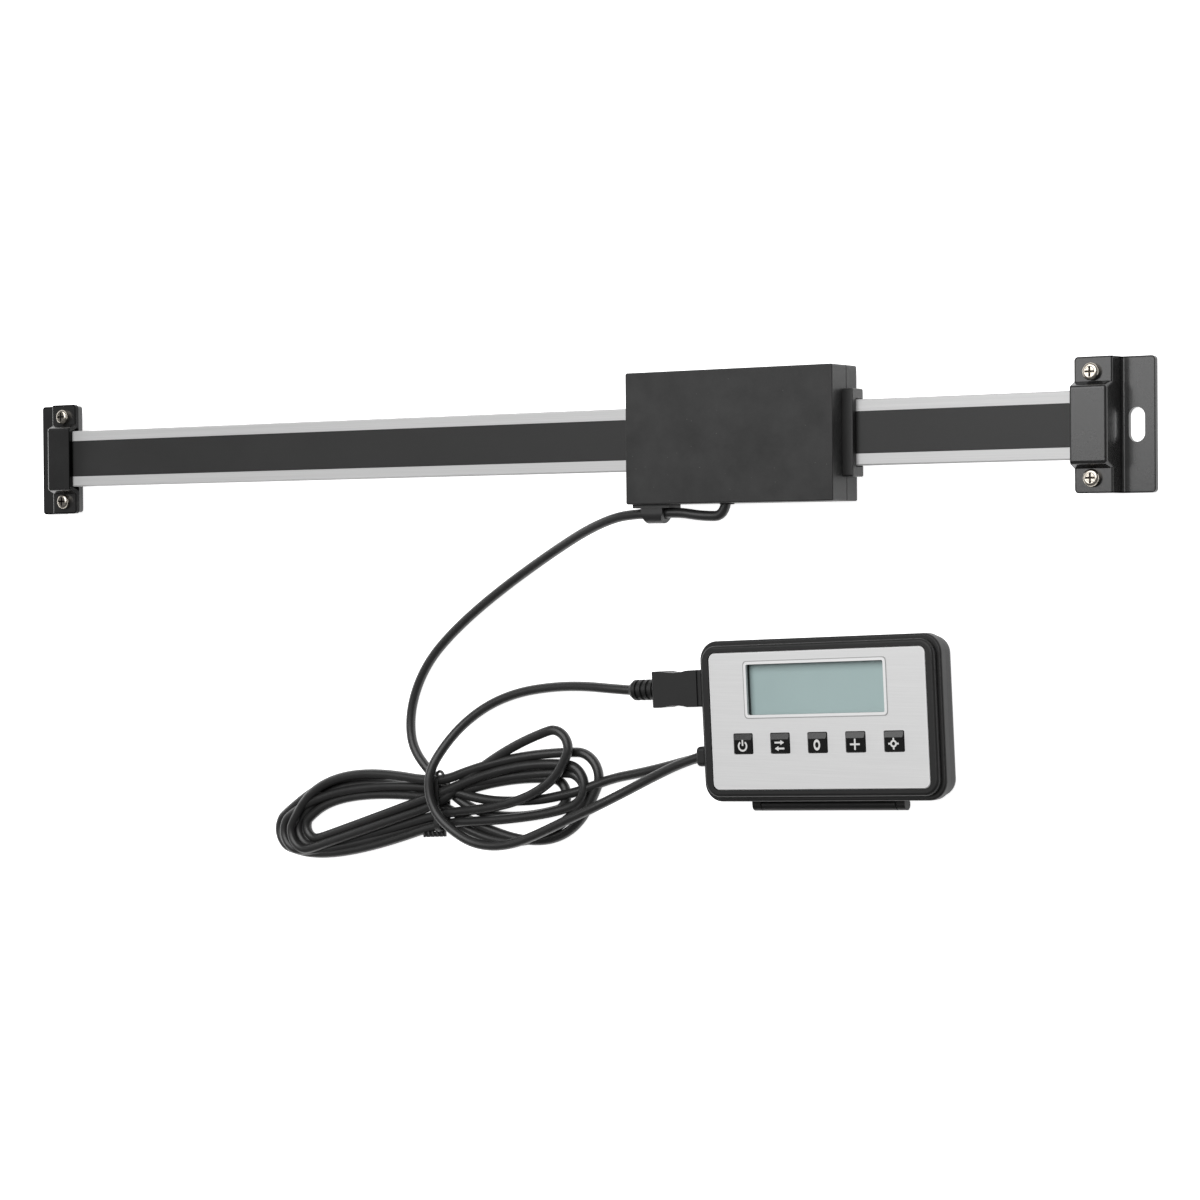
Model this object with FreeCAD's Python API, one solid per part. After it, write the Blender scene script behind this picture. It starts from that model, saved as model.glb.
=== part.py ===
import FreeCAD, Part
import math
import os

# Magnetic linear scale: a reader head that slides along a flat beam, and a table readout on its cable.
# Millimetres. X runs along the beam, Y up the readout's face, Z out of the front faces.
# The origin is the middle of the footprint, on the surface that everything lies on.

V = FreeCAD.Vector

# Clearances
FIT = 0.1
RUN = 0.3
SEAM = 0.2
CUT_OVER = 1.0

# Layout on the table
BEAM_Y = 47.8
READER_X = 85.1
READOUT_X = 112.8
READOUT_Y = -39.05
READOUT_TURN = 2.44

# Beam and magnetic tape
BEAM_SPAN = 394.0
BEAM_WIDTH = 20.0
BEAM_THICK = 3.2
BEAM_BACK = 6.3
BEAM_CHAMFER = 0.4
TAPE_WIDTH = 12.6
TAPE_THICK = 1.0
TAPE_SINK = 0.05
BEAM_FRONT = BEAM_BACK + BEAM_THICK

# End brackets, pressed from sheet, and the plates that clamp the beam from behind
SHEET = 1.5
EAR_DEPTH = 11.8
FLANGE_DEPTH = 10.6
BRACKET_HEIGHT = 39.4
BRACKET_CORNER = 1.2
STEP_LEAN = 0.3
STEP_BEND = 0.8
HAT_SIDE_GAP = 0.15
HAT_TOP_GAP = 0.05
HAT_END_GAP = 0.9
HAT_SIDE_DRAFT = 0.45
HAT_END_DRAFT = 0.18
HAT_BEND = 1.2
CLAMP_THICK = 2.0
CLAMP_GAP = 0.4
SLOT_WIDTH = 5.0
SLOT_LENGTH = 10.0
SLOT_INSET = 5.8
EAR_HEAD_GAP = 0.12
EAR_SCREW_INSET = 5.6
EAR_TOP = BEAM_BACK + SHEET
HAT_INSIDE = BEAM_FRONT + HAT_TOP_GAP
HAT_TOP = HAT_INSIDE + SHEET
HAT_END_WALL = SHEET * math.hypot(1.0, HAT_END_DRAFT)
HAT_SIDE_WALL = SHEET * math.hypot(1.0, HAT_SIDE_DRAFT)
HAT_FOOT = BEAM_WIDTH / 2 + HAT_SIDE_GAP + HAT_SIDE_DRAFT * (HAT_INSIDE - EAR_TOP) + HAT_SIDE_WALL
BEAM_OVERLAP = EAR_DEPTH - HAT_END_WALL - HAT_END_DRAFT * (HAT_INSIDE - EAR_TOP) - HAT_END_GAP
BEAM_LENGTH = BEAM_SPAN + 2 * BEAM_OVERLAP
BRACKET_DEPTH = EAR_DEPTH + FLANGE_DEPTH

# Screws, each with its radius, head and reach
M3 = 1.5
M3_HEAD = 2.6
M3_HEAD_TALL = 1.9
M2 = 1.0
M2_HEAD = 1.9
M2_HEAD_TALL = 1.3
SCREW_CLEAR = 0.1
SCREW_PROUD = 0.5
CROSS_WIDTH = 0.6
CROSS_DEPTH = 0.9
EAR_SCREW_PITCH = 2 * (HAT_FOOT + EAR_HEAD_GAP + M3_HEAD)

# Reader head
READER_LENGTH = 74.5
READER_HEIGHT = 41.2
READER_BACK = 2.5
READER_FRONT = 17.8
READER_SEAM = 9.2
READER_WALL = 2.0
READER_LIP = 1.0
READER_CORNER = 0.6
READER_EDGE = 0.4
BOSS_R = 2.5
BOSS_INSET_X = 6.35
BOSS_INSET_Y = 6.4
INSERT_R = 2.1
INSERT_DEEP = 5.0
INSERT_WALL = 0.9
INSERT_PITCH_X = 44.0
INSERT_PITCH_Y = 30.0
WIPER_HEIGHT = 26.6
WIPER_LENGTH = 3.6
WIPER_ABOVE = 2.2
WIPER_BELOW = 1.2
WIPER_EDGE = 0.6
GUIDE_INSET = 6.95
GUIDE_WIDTH = 3.0
GUIDE_SPREAD = 14.0
RAIL_THICK = 1.7
NOSE_LENGTH = 4.0
NOSE_WIDTH = 2.0
READER_BOARD_INSET_X = 9.95
READER_BOARD_INSET_Y = 5.1
READER_BOARD_RAISE = 2.5
BOARD_THICK = 1.2
BOARD_POST_R = 2.0
BOARD_POST_INSET = 4.0
SENSOR_LENGTH = 30.0
SENSOR_WIDTH = 10.0
SENSOR_TALL = 1.6
GUIDE_LENGTH = READER_LENGTH - 2 * GUIDE_INSET
READER_BOARD_LENGTH = READER_LENGTH - 2 * READER_BOARD_INSET_X
READER_BOARD_HEIGHT = READER_HEIGHT - 2 * READER_BOARD_INSET_Y
BOARD_POST_X = READER_BOARD_LENGTH - 2 * BOARD_POST_INSET
BOARD_POST_Y = READER_BOARD_HEIGHT - 2 * BOARD_POST_INSET
READER_BOARD_Z = BEAM_FRONT + READER_BOARD_RAISE
READER_WALL_Y = BEAM_Y - READER_HEIGHT / 2
READER_LEFT = READER_X - READER_LENGTH / 2
READER_RIGHT = READER_X + READER_LENGTH / 2

# Cable, its grommet and its clip on the reader
CABLE_R = 1.6
CABLE_EXIT_X = -2.9
CABLE_EXIT_Z = 13.0
GROMMET_NECK_R = 2.4
GROMMET_PROUD = 0.4
GROMMET_LIP = 0.8
GROMMET_BACK_R = 2.65
CLIP_PAD = 0.5
CLIP_BASE = 0.7
CLIP_WALL = 1.4
CLIP_LENGTH = 13.7
CLIP_TALL = 6.6
CLIP_SADDLE = 8.0
CLIP_TAPER = 1.1
CLIP_INSET = 8.4
CLIP_CABLE_DROP = CLIP_PAD + CLIP_BASE + FIT + CABLE_R

# Readout housing
FRONT_Z = 12.0
STEP_Z = 9.9
HALF_Z = 6.6
MID_WIDTH = 84.6
MID_HEIGHT = 50.0
MID_CORNER = 6.0
MID_EDGE = 0.7
BEZEL_STEP = 1.5
BEZEL_CORNER = 5.0
BEZEL_EDGE = 1.0
REAR_STEP = 0.8
REAR_CORNER = 5.4
REAR_EDGE = 3.0
BEZEL_WALL = 1.5
FRONT_SKIN = 1.1
REAR_LIP = 1.0
REAR_LIP_TALL = 1.0
REAR_FLOOR = 1.5
PLATE_RIM_X = 2.85
PLATE_RIM_Y = 2.25
PLATE_CORNER = 2.2
PLATE_THICK = 0.8
PLATE_BEVEL = 0.25
LCD_HEIGHT = 15.6
LCD_SIDE = 13.95
LCD_ABOVE = 3.85
LCD_SHIFT = -0.4
LCD_CORNER = 0.6
LCD_MARGIN = 3.0
LCD_THICK = 2.0
WINDOW_THICK = 0.45
WINDOW_MARGIN = 2.0
BUTTON_WIDTH = 6.5
BUTTON_HEIGHT = 6.0
BUTTON_END = 11.55
BUTTON_DROP = 7.0
BUTTON_COUNT = 5
BUTTON_PROUD = 0.5
BUTTON_SKIRT = 0.8
BUTTON_GAP = 0.25
BUTTON_EDGE = 0.5
BUTTON_SLOPE = 1.8
BUTTON_FALL = 0.45
SWITCH_SIZE = 5.0
SWITCH_GAP = 0.9
BOARD_INSET_X = 10.3
BOARD_INSET_Y = 4.5
BOARD_UNDER = 5.4
READOUT_BOARD = 1.0
CASE_BOSS_INSET = 6.7
CASE_BOSS_R = 2.2
PEG_INSET = 3.8
PEG_R = 1.8
BEZEL_WIDTH = MID_WIDTH - 2 * BEZEL_STEP
BEZEL_HEIGHT = MID_HEIGHT - 2 * BEZEL_STEP
REAR_WIDTH = MID_WIDTH - 2 * REAR_STEP
REAR_HEIGHT = MID_HEIGHT - 2 * REAR_STEP
PLATE_WIDTH = BEZEL_WIDTH - 2 * PLATE_RIM_X
PLATE_HEIGHT = BEZEL_HEIGHT - 2 * PLATE_RIM_Y
LCD_WIDTH = PLATE_WIDTH - 2 * LCD_SIDE
LCD_RAISE = PLATE_HEIGHT / 2 - LCD_ABOVE - LCD_HEIGHT / 2
BUTTON_PITCH = (PLATE_WIDTH - 2 * BUTTON_END) / (BUTTON_COUNT - 1)
BOARD_WIDTH = MID_WIDTH - 2 * BOARD_INSET_X
BOARD_HEIGHT = MID_HEIGHT - 2 * BOARD_INSET_Y
CASE_BOSS_X = MID_WIDTH - 2 * CASE_BOSS_INSET
CASE_BOSS_Y = MID_HEIGHT - 2 * CASE_BOSS_INSET
PEG_X = BOARD_WIDTH - 2 * PEG_INSET
PEG_Y = BOARD_HEIGHT - 2 * PEG_INSET
SKIN_UNDER = FRONT_Z - PLATE_THICK - 2 * FIT - FRONT_SKIN
PLATE_SEAT = SKIN_UNDER + FRONT_SKIN
CAVITY_WIDTH = BEZEL_WIDTH - 2 * BEZEL_WALL
CAVITY_HEIGHT = BEZEL_HEIGHT - 2 * BEZEL_WALL
BOARD_TOP = BOARD_UNDER + READOUT_BOARD

# Battery, its turn-off door and the fold-out stand on the back of the readout
CELL_R = 10.0
CELL_THICK = 3.2
DOOR_R = 11.2
DOOR_THICK = 1.6
DOOR_Y = -5.0
COIN_SLOT_LENGTH = 14.0
COIN_SLOT_WIDTH = 1.8
COIN_SLOT_DEEP = 0.8
CONTACT_LENGTH = 14.0
CONTACT_WIDTH = 4.0
CONTACT_THICK = 0.2
STAND_WIDTH = 53.6
STAND_EAR = 2.9
STAND_CAP = 0.8
STAND_SHIFT = -1.6
STAND_DROP = 1.5
STAND_PIVOT_Z = 3.0
STAND_BARREL_R = 1.8
STAND_PLATE = 1.7
STAND_TOP_Y = 11.0
STAND_CORNER = 3.0
STAND_WINDOW_WIDTH = 31.0
STAND_WINDOW_HEIGHT = 27.0
STAND_GAP = 0.4
HINGE_PIN_R = 0.7
HINGE_PIN_REACH = 3.0
STAND_PIVOT_Y = -MID_HEIGHT / 2 - STAND_DROP
STAND_PLATE_WIDTH = STAND_WIDTH - 2 * (STAND_EAR + STAND_GAP)
RECESS_DEEP = RUN + STAND_PLATE + RUN
REAR_INSIDE = RECESS_DEEP + REAR_FLOOR

# Plug, its socket and the anchor that holds the doubled cable on the readout's left wall
PLUG_Y = 10.4
PLUG_Z = 5.4
PLUG_LENGTH = 17.0
PLUG_WIDTH = 11.5
PLUG_WAIST = 10.3
PLUG_TALL = 7.6
PLUG_EDGE = 1.1
PLUG_GROOVE = 0.8
PLUG_GROOVE_DEEP = 0.5
PLUG_COLLAR = 0.9
RELIEF_NECK = 2.6
RELIEF_LENGTH = 7.0
RELIEF_TAPER = 1.5
RELIEF_TIP_R = 2.2
RELIEF_R = 3.3
RELIEF_NECK_R = 2.7
RELIEF_RIB = 1.2
RELIEF_RIB_GAP = 0.9
SHELL_WIDTH = 6.8
SHELL_TALL = 3.0
SHELL_REACH = 6.0
SOCKET_WALL = 0.4
SOCKET_LENGTH = 9.0
SOCKET_FLANGE = 1.5
ANCHOR_Y = -10.9
ANCHOR_WIDTH = 6.3
ANCHOR_TALL = 8.6
ANCHOR_Z = 5.2
ANCHOR_PROUD = 3.4
ANCHOR_NECK_WIDTH = 4.8
ANCHOR_NECK_TALL = 6.0
ANCHOR_EDGE = 1.4
STRAND_SPLIT = 3.5

# Hank of cable and its tie
HANK_BOTTOM = 0.8
HANK_TOP = 6.0
HANK_BEND = 0.45
TIE_X = -37.5
TIE_WIDTH = 3.0
TIE_THICK = 0.6
TIE_LOW_Y = -83.2
TIE_HIGH_Y = -58.9

# Outline of the hank, counter-clockwise from the tie, and the open eye of its left loop
HANK_OUTLINE = [
    (-37.0, -60.4), (-60.0, -60.6), (-80.0, -58.6), (-101.0, -67.0), (-109.0, -78.0), (-102.0, -88.0),
    (-86.0, -92.0), (-62.0, -87.5), (-37.0, -81.7), (-20.0, -85.5), (-3.0, -87.0), (12.0, -83.0),
    (22.0, -75.0), (25.5, -66.0), (29.0, -56.0), (20.0, -50.0), (11.0, -42.5), (-6.0, -48.0), (-22.0, -56.0),
]
HANK_EYE = [(-93.0, -79.0), (-86.0, -72.5), (-72.0, -70.3), (-52.0, -73.2), (-88.0, -84.0)]

# Free route of the cable from the clip to the hank, from the hank to the anchor, and of the plug's lead
LEAD_ROUTE = [
    (40.0, 22.6, 11.6), (27.5, 18.6, 8.5), (13.4, 13.6, 5.0), (-1.0, 8.2, 2.6), (-12.5, 1.9, 1.8),
    (-23.2, -6.0, 1.65), (-33.5, -14.6, 1.65), (-42.0, -23.0, 1.65), (-48.3, -32.5, 1.65),
    (-51.2, -43.0, 1.7), (-48.4, -52.5, 2.0), (-42.0, -60.8, 2.8),
]
FEED_ROUTE = [(20.5, -64.5, 2.8), (31.0, -60.4, 1.9), (42.0, -57.2, 1.9), (52.0, -54.2, 2.5)]
PLUG_ROUTE = [
    (21.5, -31.2, 4.0), (8.0, -31.3, 2.1), (-5.5, -33.2, 1.65), (-17.5, -37.5, 1.75), (-27.0, -44.2, 3.0),
    (-33.4, -51.8, 5.8), (-37.0, -59.8, 8.6), (-37.7, -67.6, 8.9), (-35.8, -75.6, 8.8), (-30.5, -81.8, 8.6),
    (-21.5, -85.6, 8.6), (-11.5, -85.5, 8.6), (-1.5, -82.6, 8.6), (9.0, -77.6, 8.6), (19.5, -72.6, 8.4),
    (29.5, -67.9, 7.9), (39.8, -62.8, 6.2), (50.2, -57.0, 6.1),
]
LEAD_START_RUN = 8.0
LEAD_DIP = 4.0
LEAD_SIDE_RUN = 9.2
LEAD_SAG = 0.7
CLIP_RUN_IN = 8.6
CLIP_RUN_MIDDLE = 0.6
CLIP_RUN_OUT = 7.2
END_RUN = 6.7


def rounded_wire(points, radii, lift=0.0):
    """Closed outline through 2D points with a tangent arc of its own radius at each corner."""
    count = len(points)
    corners = [V(x, y, lift) for x, y in points]
    starts, ends, arcs = [], [], []
    for index in range(count):
        corner = corners[index]
        back = (corners[index - 1] - corner).normalize()
        ahead = (corners[(index + 1) % count] - corner).normalize()
        radius = radii[index]
        if radius <= 0:
            starts.append(corner)
            ends.append(corner)
            arcs.append(None)
            continue
        half = back.getAngle(ahead) / 2
        reach = radius / math.tan(half)
        first = corner + back * reach
        last = corner + ahead * reach
        middle = corner + (back + ahead).normalize() * (radius / math.sin(half) - radius)
        starts.append(first)
        ends.append(last)
        arcs.append(Part.Arc(first, middle, last).toShape())
    edges = []
    for index in range(count):
        if arcs[index]:
            edges.append(arcs[index])
        following = starts[(index + 1) % count]
        if (following - ends[index]).Length > 1e-6:
            edges.append(Part.LineSegment(ends[index], following).toShape())
    return Part.Wire(edges)


def soft_wire(points, share, lift=0.0):
    """Closed outline whose arcs each use up the given share of the shorter side at their corner."""
    radii = []
    count = len(points)
    for index in range(count):
        corner = V(points[index][0], points[index][1], 0)
        back = V(points[index - 1][0], points[index - 1][1], 0) - corner
        ahead_point = points[(index + 1) % count]
        ahead = V(ahead_point[0], ahead_point[1], 0) - corner
        radii.append(share * min(back.Length, ahead.Length) * math.tan(back.getAngle(ahead) / 2))
    return rounded_wire(points, radii, lift)


def prism(wire, tall):
    """Solid that stands on a flat outline."""
    return Part.Face(wire).extrude(V(0, 0, tall))


def slab(x, y, width, height, corner, low, high):
    """Plate with rounded corners, centred at x, y, between two heights."""
    half_x, half_y = width / 2, height / 2
    left, right = x - half_x, x + half_x
    down, up = y - half_y, y + half_y
    points = [(left, down), (right, down), (right, up), (left, up)]
    return prism(rounded_wire(points, [corner] * 4, low), high - low)


def block(x0, x1, y0, y1, z0, z1):
    """Square block between two corners."""
    return Part.makeBox(x1 - x0, y1 - y0, z1 - z0, V(x0, y0, z0))


def post(x, y, low, high, radius):
    """Upright cylinder between two heights."""
    return Part.makeCylinder(radius, high - low, V(x, y, low))


def along_x(points, radii, x0, x1):
    """Outline in Y and Z, drawn out along X."""
    face = Part.Face(rounded_wire(points, radii))
    solid = face.extrude(V(0, 0, x1 - x0))
    turn = FreeCAD.Matrix(0, 0, 1, x0, 1, 0, 0, 0, 0, 1, 0, 0, 0, 0, 0, 1)
    return solid.transformGeometry(turn)


def rod_x(x0, x1, y, z, radius):
    """Cylinder lying along X."""
    return Part.makeCylinder(radius, x1 - x0, V(x0, y, z), V(1, 0, 0))


def at_height(edge, height):
    """True for an edge that lies flat at one height."""
    box = edge.BoundBox
    return abs(box.ZMin - height) < 1e-4 and abs(box.ZMax - height) < 1e-4


def ease(shape, radius, wanted):
    """Round the edges that the given test picks."""
    edges = [edge for edge in shape.Edges if wanted(edge)]
    return shape.makeFillet(radius, edges)


def fuse_all(shapes):
    """One solid from touching pieces, without the seams between coplanar faces."""
    return shapes[0].fuse(shapes[1:]).removeSplitter()


def corners_of(pitch_x, pitch_y):
    """The four corners of a rectangle round the origin."""
    return [(sx * pitch_x / 2, sy * pitch_y / 2) for sx in (-1, 1) for sy in (-1, 1)]


def pan_screw(radius, head, head_tall, reach):
    """Pan-head screw with a cross recess: its seat at z = 0 and its shank below."""
    crown = head_tall * 0.45
    flat = head * 0.55
    shoulder = V((head + flat) / 2 + 0.12 * head, 0, head_tall - crown * 0.3)
    profile = Part.Wire([
        Part.LineSegment(V(0, 0, -reach), V(radius, 0, -reach)).toShape(),
        Part.LineSegment(V(radius, 0, -reach), V(radius, 0, 0)).toShape(),
        Part.LineSegment(V(radius, 0, 0), V(head, 0, 0)).toShape(),
        Part.LineSegment(V(head, 0, 0), V(head, 0, head_tall - crown)).toShape(),
        Part.Arc(V(head, 0, head_tall - crown), shoulder, V(flat, 0, head_tall)).toShape(),
        Part.LineSegment(V(flat, 0, head_tall), V(0, 0, head_tall)).toShape(),
        Part.LineSegment(V(0, 0, head_tall), V(0, 0, -reach)).toShape(),
    ])
    screw = Part.Face(profile).revolve(V(0, 0, 0), V(0, 0, 1), 360)
    arm = head * 0.6
    low = head_tall - CROSS_DEPTH
    cross = block(-arm, arm, -CROSS_WIDTH / 2, CROSS_WIDTH / 2, low, head_tall + CUT_OVER)
    cross = cross.fuse(block(-CROSS_WIDTH / 2, CROSS_WIDTH / 2, -arm, arm, low, head_tall + CUT_OVER))
    return screw.cut(cross)


def facing_down(shape):
    """Turn a screw so that its head points down."""
    turned = shape.copy()
    turned.rotate(V(0, 0, 0), V(1, 0, 0), 180)
    return turned


def moved(shape, x, y, z):
    """Copy of a piece, shifted."""
    copy = shape.copy()
    copy.translate(V(x, y, z))
    return copy


def group(shapes):
    """Separate solids that share one node."""
    return Part.makeCompound(shapes)


# Beam, tape and brackets

def make_beam():
    """Flat bar with eased edges and a shallow bed for the tape along its front."""
    half = BEAM_WIDTH / 2
    bed = TAPE_WIDTH / 2 + FIT
    floor = BEAM_FRONT - TAPE_THICK - TAPE_SINK
    ease_by = BEAM_CHAMFER
    points = [
        (-half + ease_by, BEAM_BACK), (half - ease_by, BEAM_BACK), (half, BEAM_BACK + ease_by),
        (half, BEAM_FRONT - ease_by), (half - ease_by, BEAM_FRONT), (bed, BEAM_FRONT), (bed, floor),
        (-bed, floor), (-bed, BEAM_FRONT), (-half + ease_by, BEAM_FRONT), (-half, BEAM_FRONT - ease_by),
        (-half, BEAM_BACK + ease_by),
    ]
    bar = along_x(points, [0] * len(points), -BEAM_LENGTH / 2, BEAM_LENGTH / 2)
    return moved(bar, 0, BEAM_Y, 0)


def make_tape():
    """Magnetic tape in the beam's bed."""
    high = BEAM_FRONT - TAPE_SINK
    half = TAPE_WIDTH / 2
    return block(-BEAM_LENGTH / 2, BEAM_LENGTH / 2, BEAM_Y - half, BEAM_Y + half, high - TAPE_THICK, high)


def hat_block(low, high, outer):
    """Tapered block of the bracket's raised hat, its outside or its hollow."""
    wall_side = HAT_SIDE_WALL if outer else 0.0
    wall_end = HAT_END_WALL if outer else 0.0
    start = 0.0 if outer else -CUT_OVER
    wires = []
    for height in (low, high):
        drop = HAT_INSIDE - height
        side = BEAM_WIDTH / 2 + HAT_SIDE_GAP + HAT_SIDE_DRAFT * drop + wall_side
        end = BEAM_OVERLAP + HAT_END_GAP + HAT_END_DRAFT * drop + wall_end
        plan = [(start, -side), (end, -side), (end, side), (start, side), (start, -side)]
        wires.append(Part.makePolygon([V(x, y, height) for x, y in plan]))
    return Part.makeLoft(wires, True, True)


def make_bracket():
    """One pressed bracket: ears, a hat over the beam's end, a step down and a slotted flange."""
    foot = EAR_DEPTH + STEP_LEAN
    points = [
        (0, EAR_TOP), (0, BEAM_BACK), (EAR_DEPTH - SHEET, BEAM_BACK), (foot - SHEET, 0),
        (BRACKET_DEPTH, 0), (BRACKET_DEPTH, SHEET), (foot, SHEET), (EAR_DEPTH, EAR_TOP),
    ]
    radii = [0, 0, 0.2 * SHEET, STEP_BEND + SHEET, 0, 0, STEP_BEND, STEP_BEND]
    half = BRACKET_HEIGHT / 2
    profile = Part.Face(rounded_wire(points, radii))
    sheet = profile.extrude(V(0, 0, BRACKET_HEIGHT))
    sheet.rotate(V(0, 0, 0), V(1, 0, 0), 90)
    sheet.translate(V(0, half, 0))
    plan = slab(BRACKET_DEPTH / 2, 0, BRACKET_DEPTH, BRACKET_HEIGHT, BRACKET_CORNER, -CUT_OVER, HAT_TOP)
    sheet = sheet.common(plan)
    hat = hat_block(BEAM_BACK, HAT_TOP, True)
    rounded = [
        edge for edge in hat.Edges
        if edge.BoundBox.XMax > CUT_OVER and edge.BoundBox.ZMax > HAT_TOP - 1e-4
    ]
    hat = hat.makeFillet(HAT_BEND, rounded)
    bracket = sheet.fuse(hat).cut(hat_block(BEAM_BACK, HAT_INSIDE, False))
    for side in (-1, 1):
        hole = post(EAR_SCREW_INSET, side * EAR_SCREW_PITCH / 2, 0, EAR_TOP + CUT_OVER, M3 + SCREW_CLEAR)
        bracket = bracket.cut(hole)
    slot = slab(BRACKET_DEPTH - SLOT_INSET, 0, SLOT_WIDTH, SLOT_LENGTH, SLOT_WIDTH / 2 - 1e-3,
                -CUT_OVER, SHEET + CUT_OVER)
    return bracket.cut(slot).removeSplitter()


def make_clamp_plate():
    """Plate behind the beam's end, tapped for the two ear screws."""
    depth = EAR_DEPTH - SHEET - CLAMP_GAP
    tall = BRACKET_HEIGHT - 2 * CLAMP_GAP
    plate = slab(depth / 2, 0, depth, tall, BRACKET_CORNER, BEAM_BACK - CLAMP_THICK, BEAM_BACK)
    for side in (-1, 1):
        plate = plate.cut(post(EAR_SCREW_INSET, side * EAR_SCREW_PITCH / 2, 0, EAR_TOP, M3))
    return plate


def make_ear_screws():
    """The two screws of one bracket."""
    screw = pan_screw(M3 - SCREW_CLEAR / 2, M3_HEAD, M3_HEAD_TALL, SHEET + CLAMP_THICK + SCREW_PROUD)
    return [moved(screw, EAR_SCREW_INSET, side * EAR_SCREW_PITCH / 2, EAR_TOP) for side in (-1, 1)]


def at_beam_end(shape, side):
    """Put a bracket piece at the beam's right (1) or left (-1) end."""
    placed = shape.copy()
    if side < 0:
        placed.rotate(V(0, 0, 0), V(0, 0, 1), 180)
    placed.translate(V(side * BEAM_SPAN / 2, BEAM_Y, 0))
    return placed


# Reader head

def reader_box(inset, corner, low, high):
    """Block with the reader's outline, drawn in by an inset."""
    return slab(READER_X, BEAM_Y, READER_LENGTH - 2 * inset, READER_HEIGHT - 2 * inset, corner, low, high)


def reader_boss_places():
    """Places of the four screws that join the reader's halves."""
    pitch_x = READER_LENGTH - 2 * BOSS_INSET_X
    pitch_y = READER_HEIGHT - 2 * BOSS_INSET_Y
    return [(READER_X + x, BEAM_Y + y) for x, y in corners_of(pitch_x, pitch_y)]


def board_post_places():
    """Places of the posts that carry the reader's board."""
    return [(READER_X + x, BEAM_Y + y) for x, y in corners_of(BOARD_POST_X, BOARD_POST_Y)]


def insert_places():
    """Places of the four mounting inserts in the reader's back."""
    return [(READER_X + x, BEAM_Y + y) for x, y in corners_of(INSERT_PITCH_X, INSERT_PITCH_Y)]


def beam_tunnel(high):
    """Room for the beam through the reader, up to the given height."""
    half = BEAM_WIDTH / 2 + RUN
    reach = READER_LENGTH
    return block(READER_X - reach, READER_X + reach, BEAM_Y - half, BEAM_Y + half, BEAM_BACK - RUN, high)


def make_reader_cover():
    """Front shell with its screw bosses, board posts and the noses that keep the beam down."""
    shell = reader_box(0, READER_CORNER, READER_SEAM, READER_FRONT)
    shell = ease(shell, READER_EDGE, lambda edge: at_height(edge, READER_FRONT))
    roof = READER_FRONT - READER_WALL
    shell = shell.cut(reader_box(READER_WALL, 0, READER_SEAM - CUT_OVER, roof))
    shell = shell.cut(beam_tunnel(BEAM_FRONT + RUN))
    additions = []
    for x, y in reader_boss_places():
        additions.append(post(x, y, READER_SEAM, roof, BOSS_R).cut(post(x, y, 0, roof - READER_WALL, M2)))
    for x, y in board_post_places():
        tall = READER_BOARD_Z + BOARD_THICK
        additions.append(post(x, y, tall, roof, BOARD_POST_R).cut(post(x, y, tall, roof - CUT_OVER, M2 / 2)))
    inner = READER_LENGTH / 2 - READER_WALL
    for end in (-1, 1):
        for side in (-1, 1):
            x = READER_X + end * (inner - NOSE_LENGTH / 2)
            y = BEAM_Y + side * (BEAM_WIDTH - NOSE_WIDTH) / 2
            additions.append(slab(x, y, NOSE_LENGTH, NOSE_WIDTH, 0, BEAM_FRONT + RUN, roof))
    shell = fuse_all([shell] + additions)
    outside = V(READER_X + CABLE_EXIT_X, READER_WALL_Y - CUT_OVER, CABLE_EXIT_Z)
    return shell.cut(Part.makeCylinder(GROMMET_NECK_R, 2 * READER_WALL + CUT_OVER, outside, V(0, 1, 0)))


def make_reader_base():
    """Rear shell with the lip that finds the cover, rails beside the beam, screw posts and insert posts."""
    top = READER_SEAM - SEAM
    wall = READER_WALL + READER_LIP
    floor = READER_BACK + READER_WALL
    shell = reader_box(0, READER_CORNER, READER_BACK, top)
    shell = ease(shell, READER_EDGE, lambda edge: at_height(edge, READER_BACK))
    lip = reader_box(READER_WALL + FIT, 0, floor, READER_SEAM + READER_LIP)
    shell = shell.fuse(lip).cut(reader_box(wall, 0, floor, READER_FRONT))
    additions = []
    rail = BEAM_WIDTH / 2 + RUN + RAIL_THICK / 2
    for side in (-1, 1):
        y = BEAM_Y + side * rail
        additions.append(slab(READER_X, y, GUIDE_LENGTH, RAIL_THICK, 0, floor, top))
    for x, y in reader_boss_places():
        additions.append(post(x, y, floor, top, BOSS_R))
    for x, y in insert_places():
        additions.append(post(x, y, floor, READER_BACK + INSERT_DEEP + INSERT_WALL, INSERT_R + INSERT_WALL))
    shell = fuse_all([shell] + additions)
    below = READER_BACK - CUT_OVER
    seat = READER_BACK + M2_HEAD_TALL + FIT
    for x, y in reader_boss_places():
        shell = shell.cut(post(x, y, below, top + CUT_OVER, M2 + SCREW_CLEAR))
        shell = shell.cut(post(x, y, below, seat, M2_HEAD + SCREW_CLEAR))
    for x, y in insert_places():
        shell = shell.cut(post(x, y, below, READER_BACK + INSERT_DEEP, INSERT_R))
    return shell.cut(beam_tunnel(READER_FRONT))


def make_reader_screws():
    """Screws from the back that hold the reader's halves together."""
    seat = READER_BACK + M2_HEAD_TALL + FIT
    reach = READER_FRONT - 2 * READER_WALL - seat - CUT_OVER
    screw = facing_down(pan_screw(M2 - SCREW_CLEAR / 2, M2_HEAD, M2_HEAD_TALL, reach))
    return group([moved(screw, x, y, seat) for x, y in reader_boss_places()])


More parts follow.
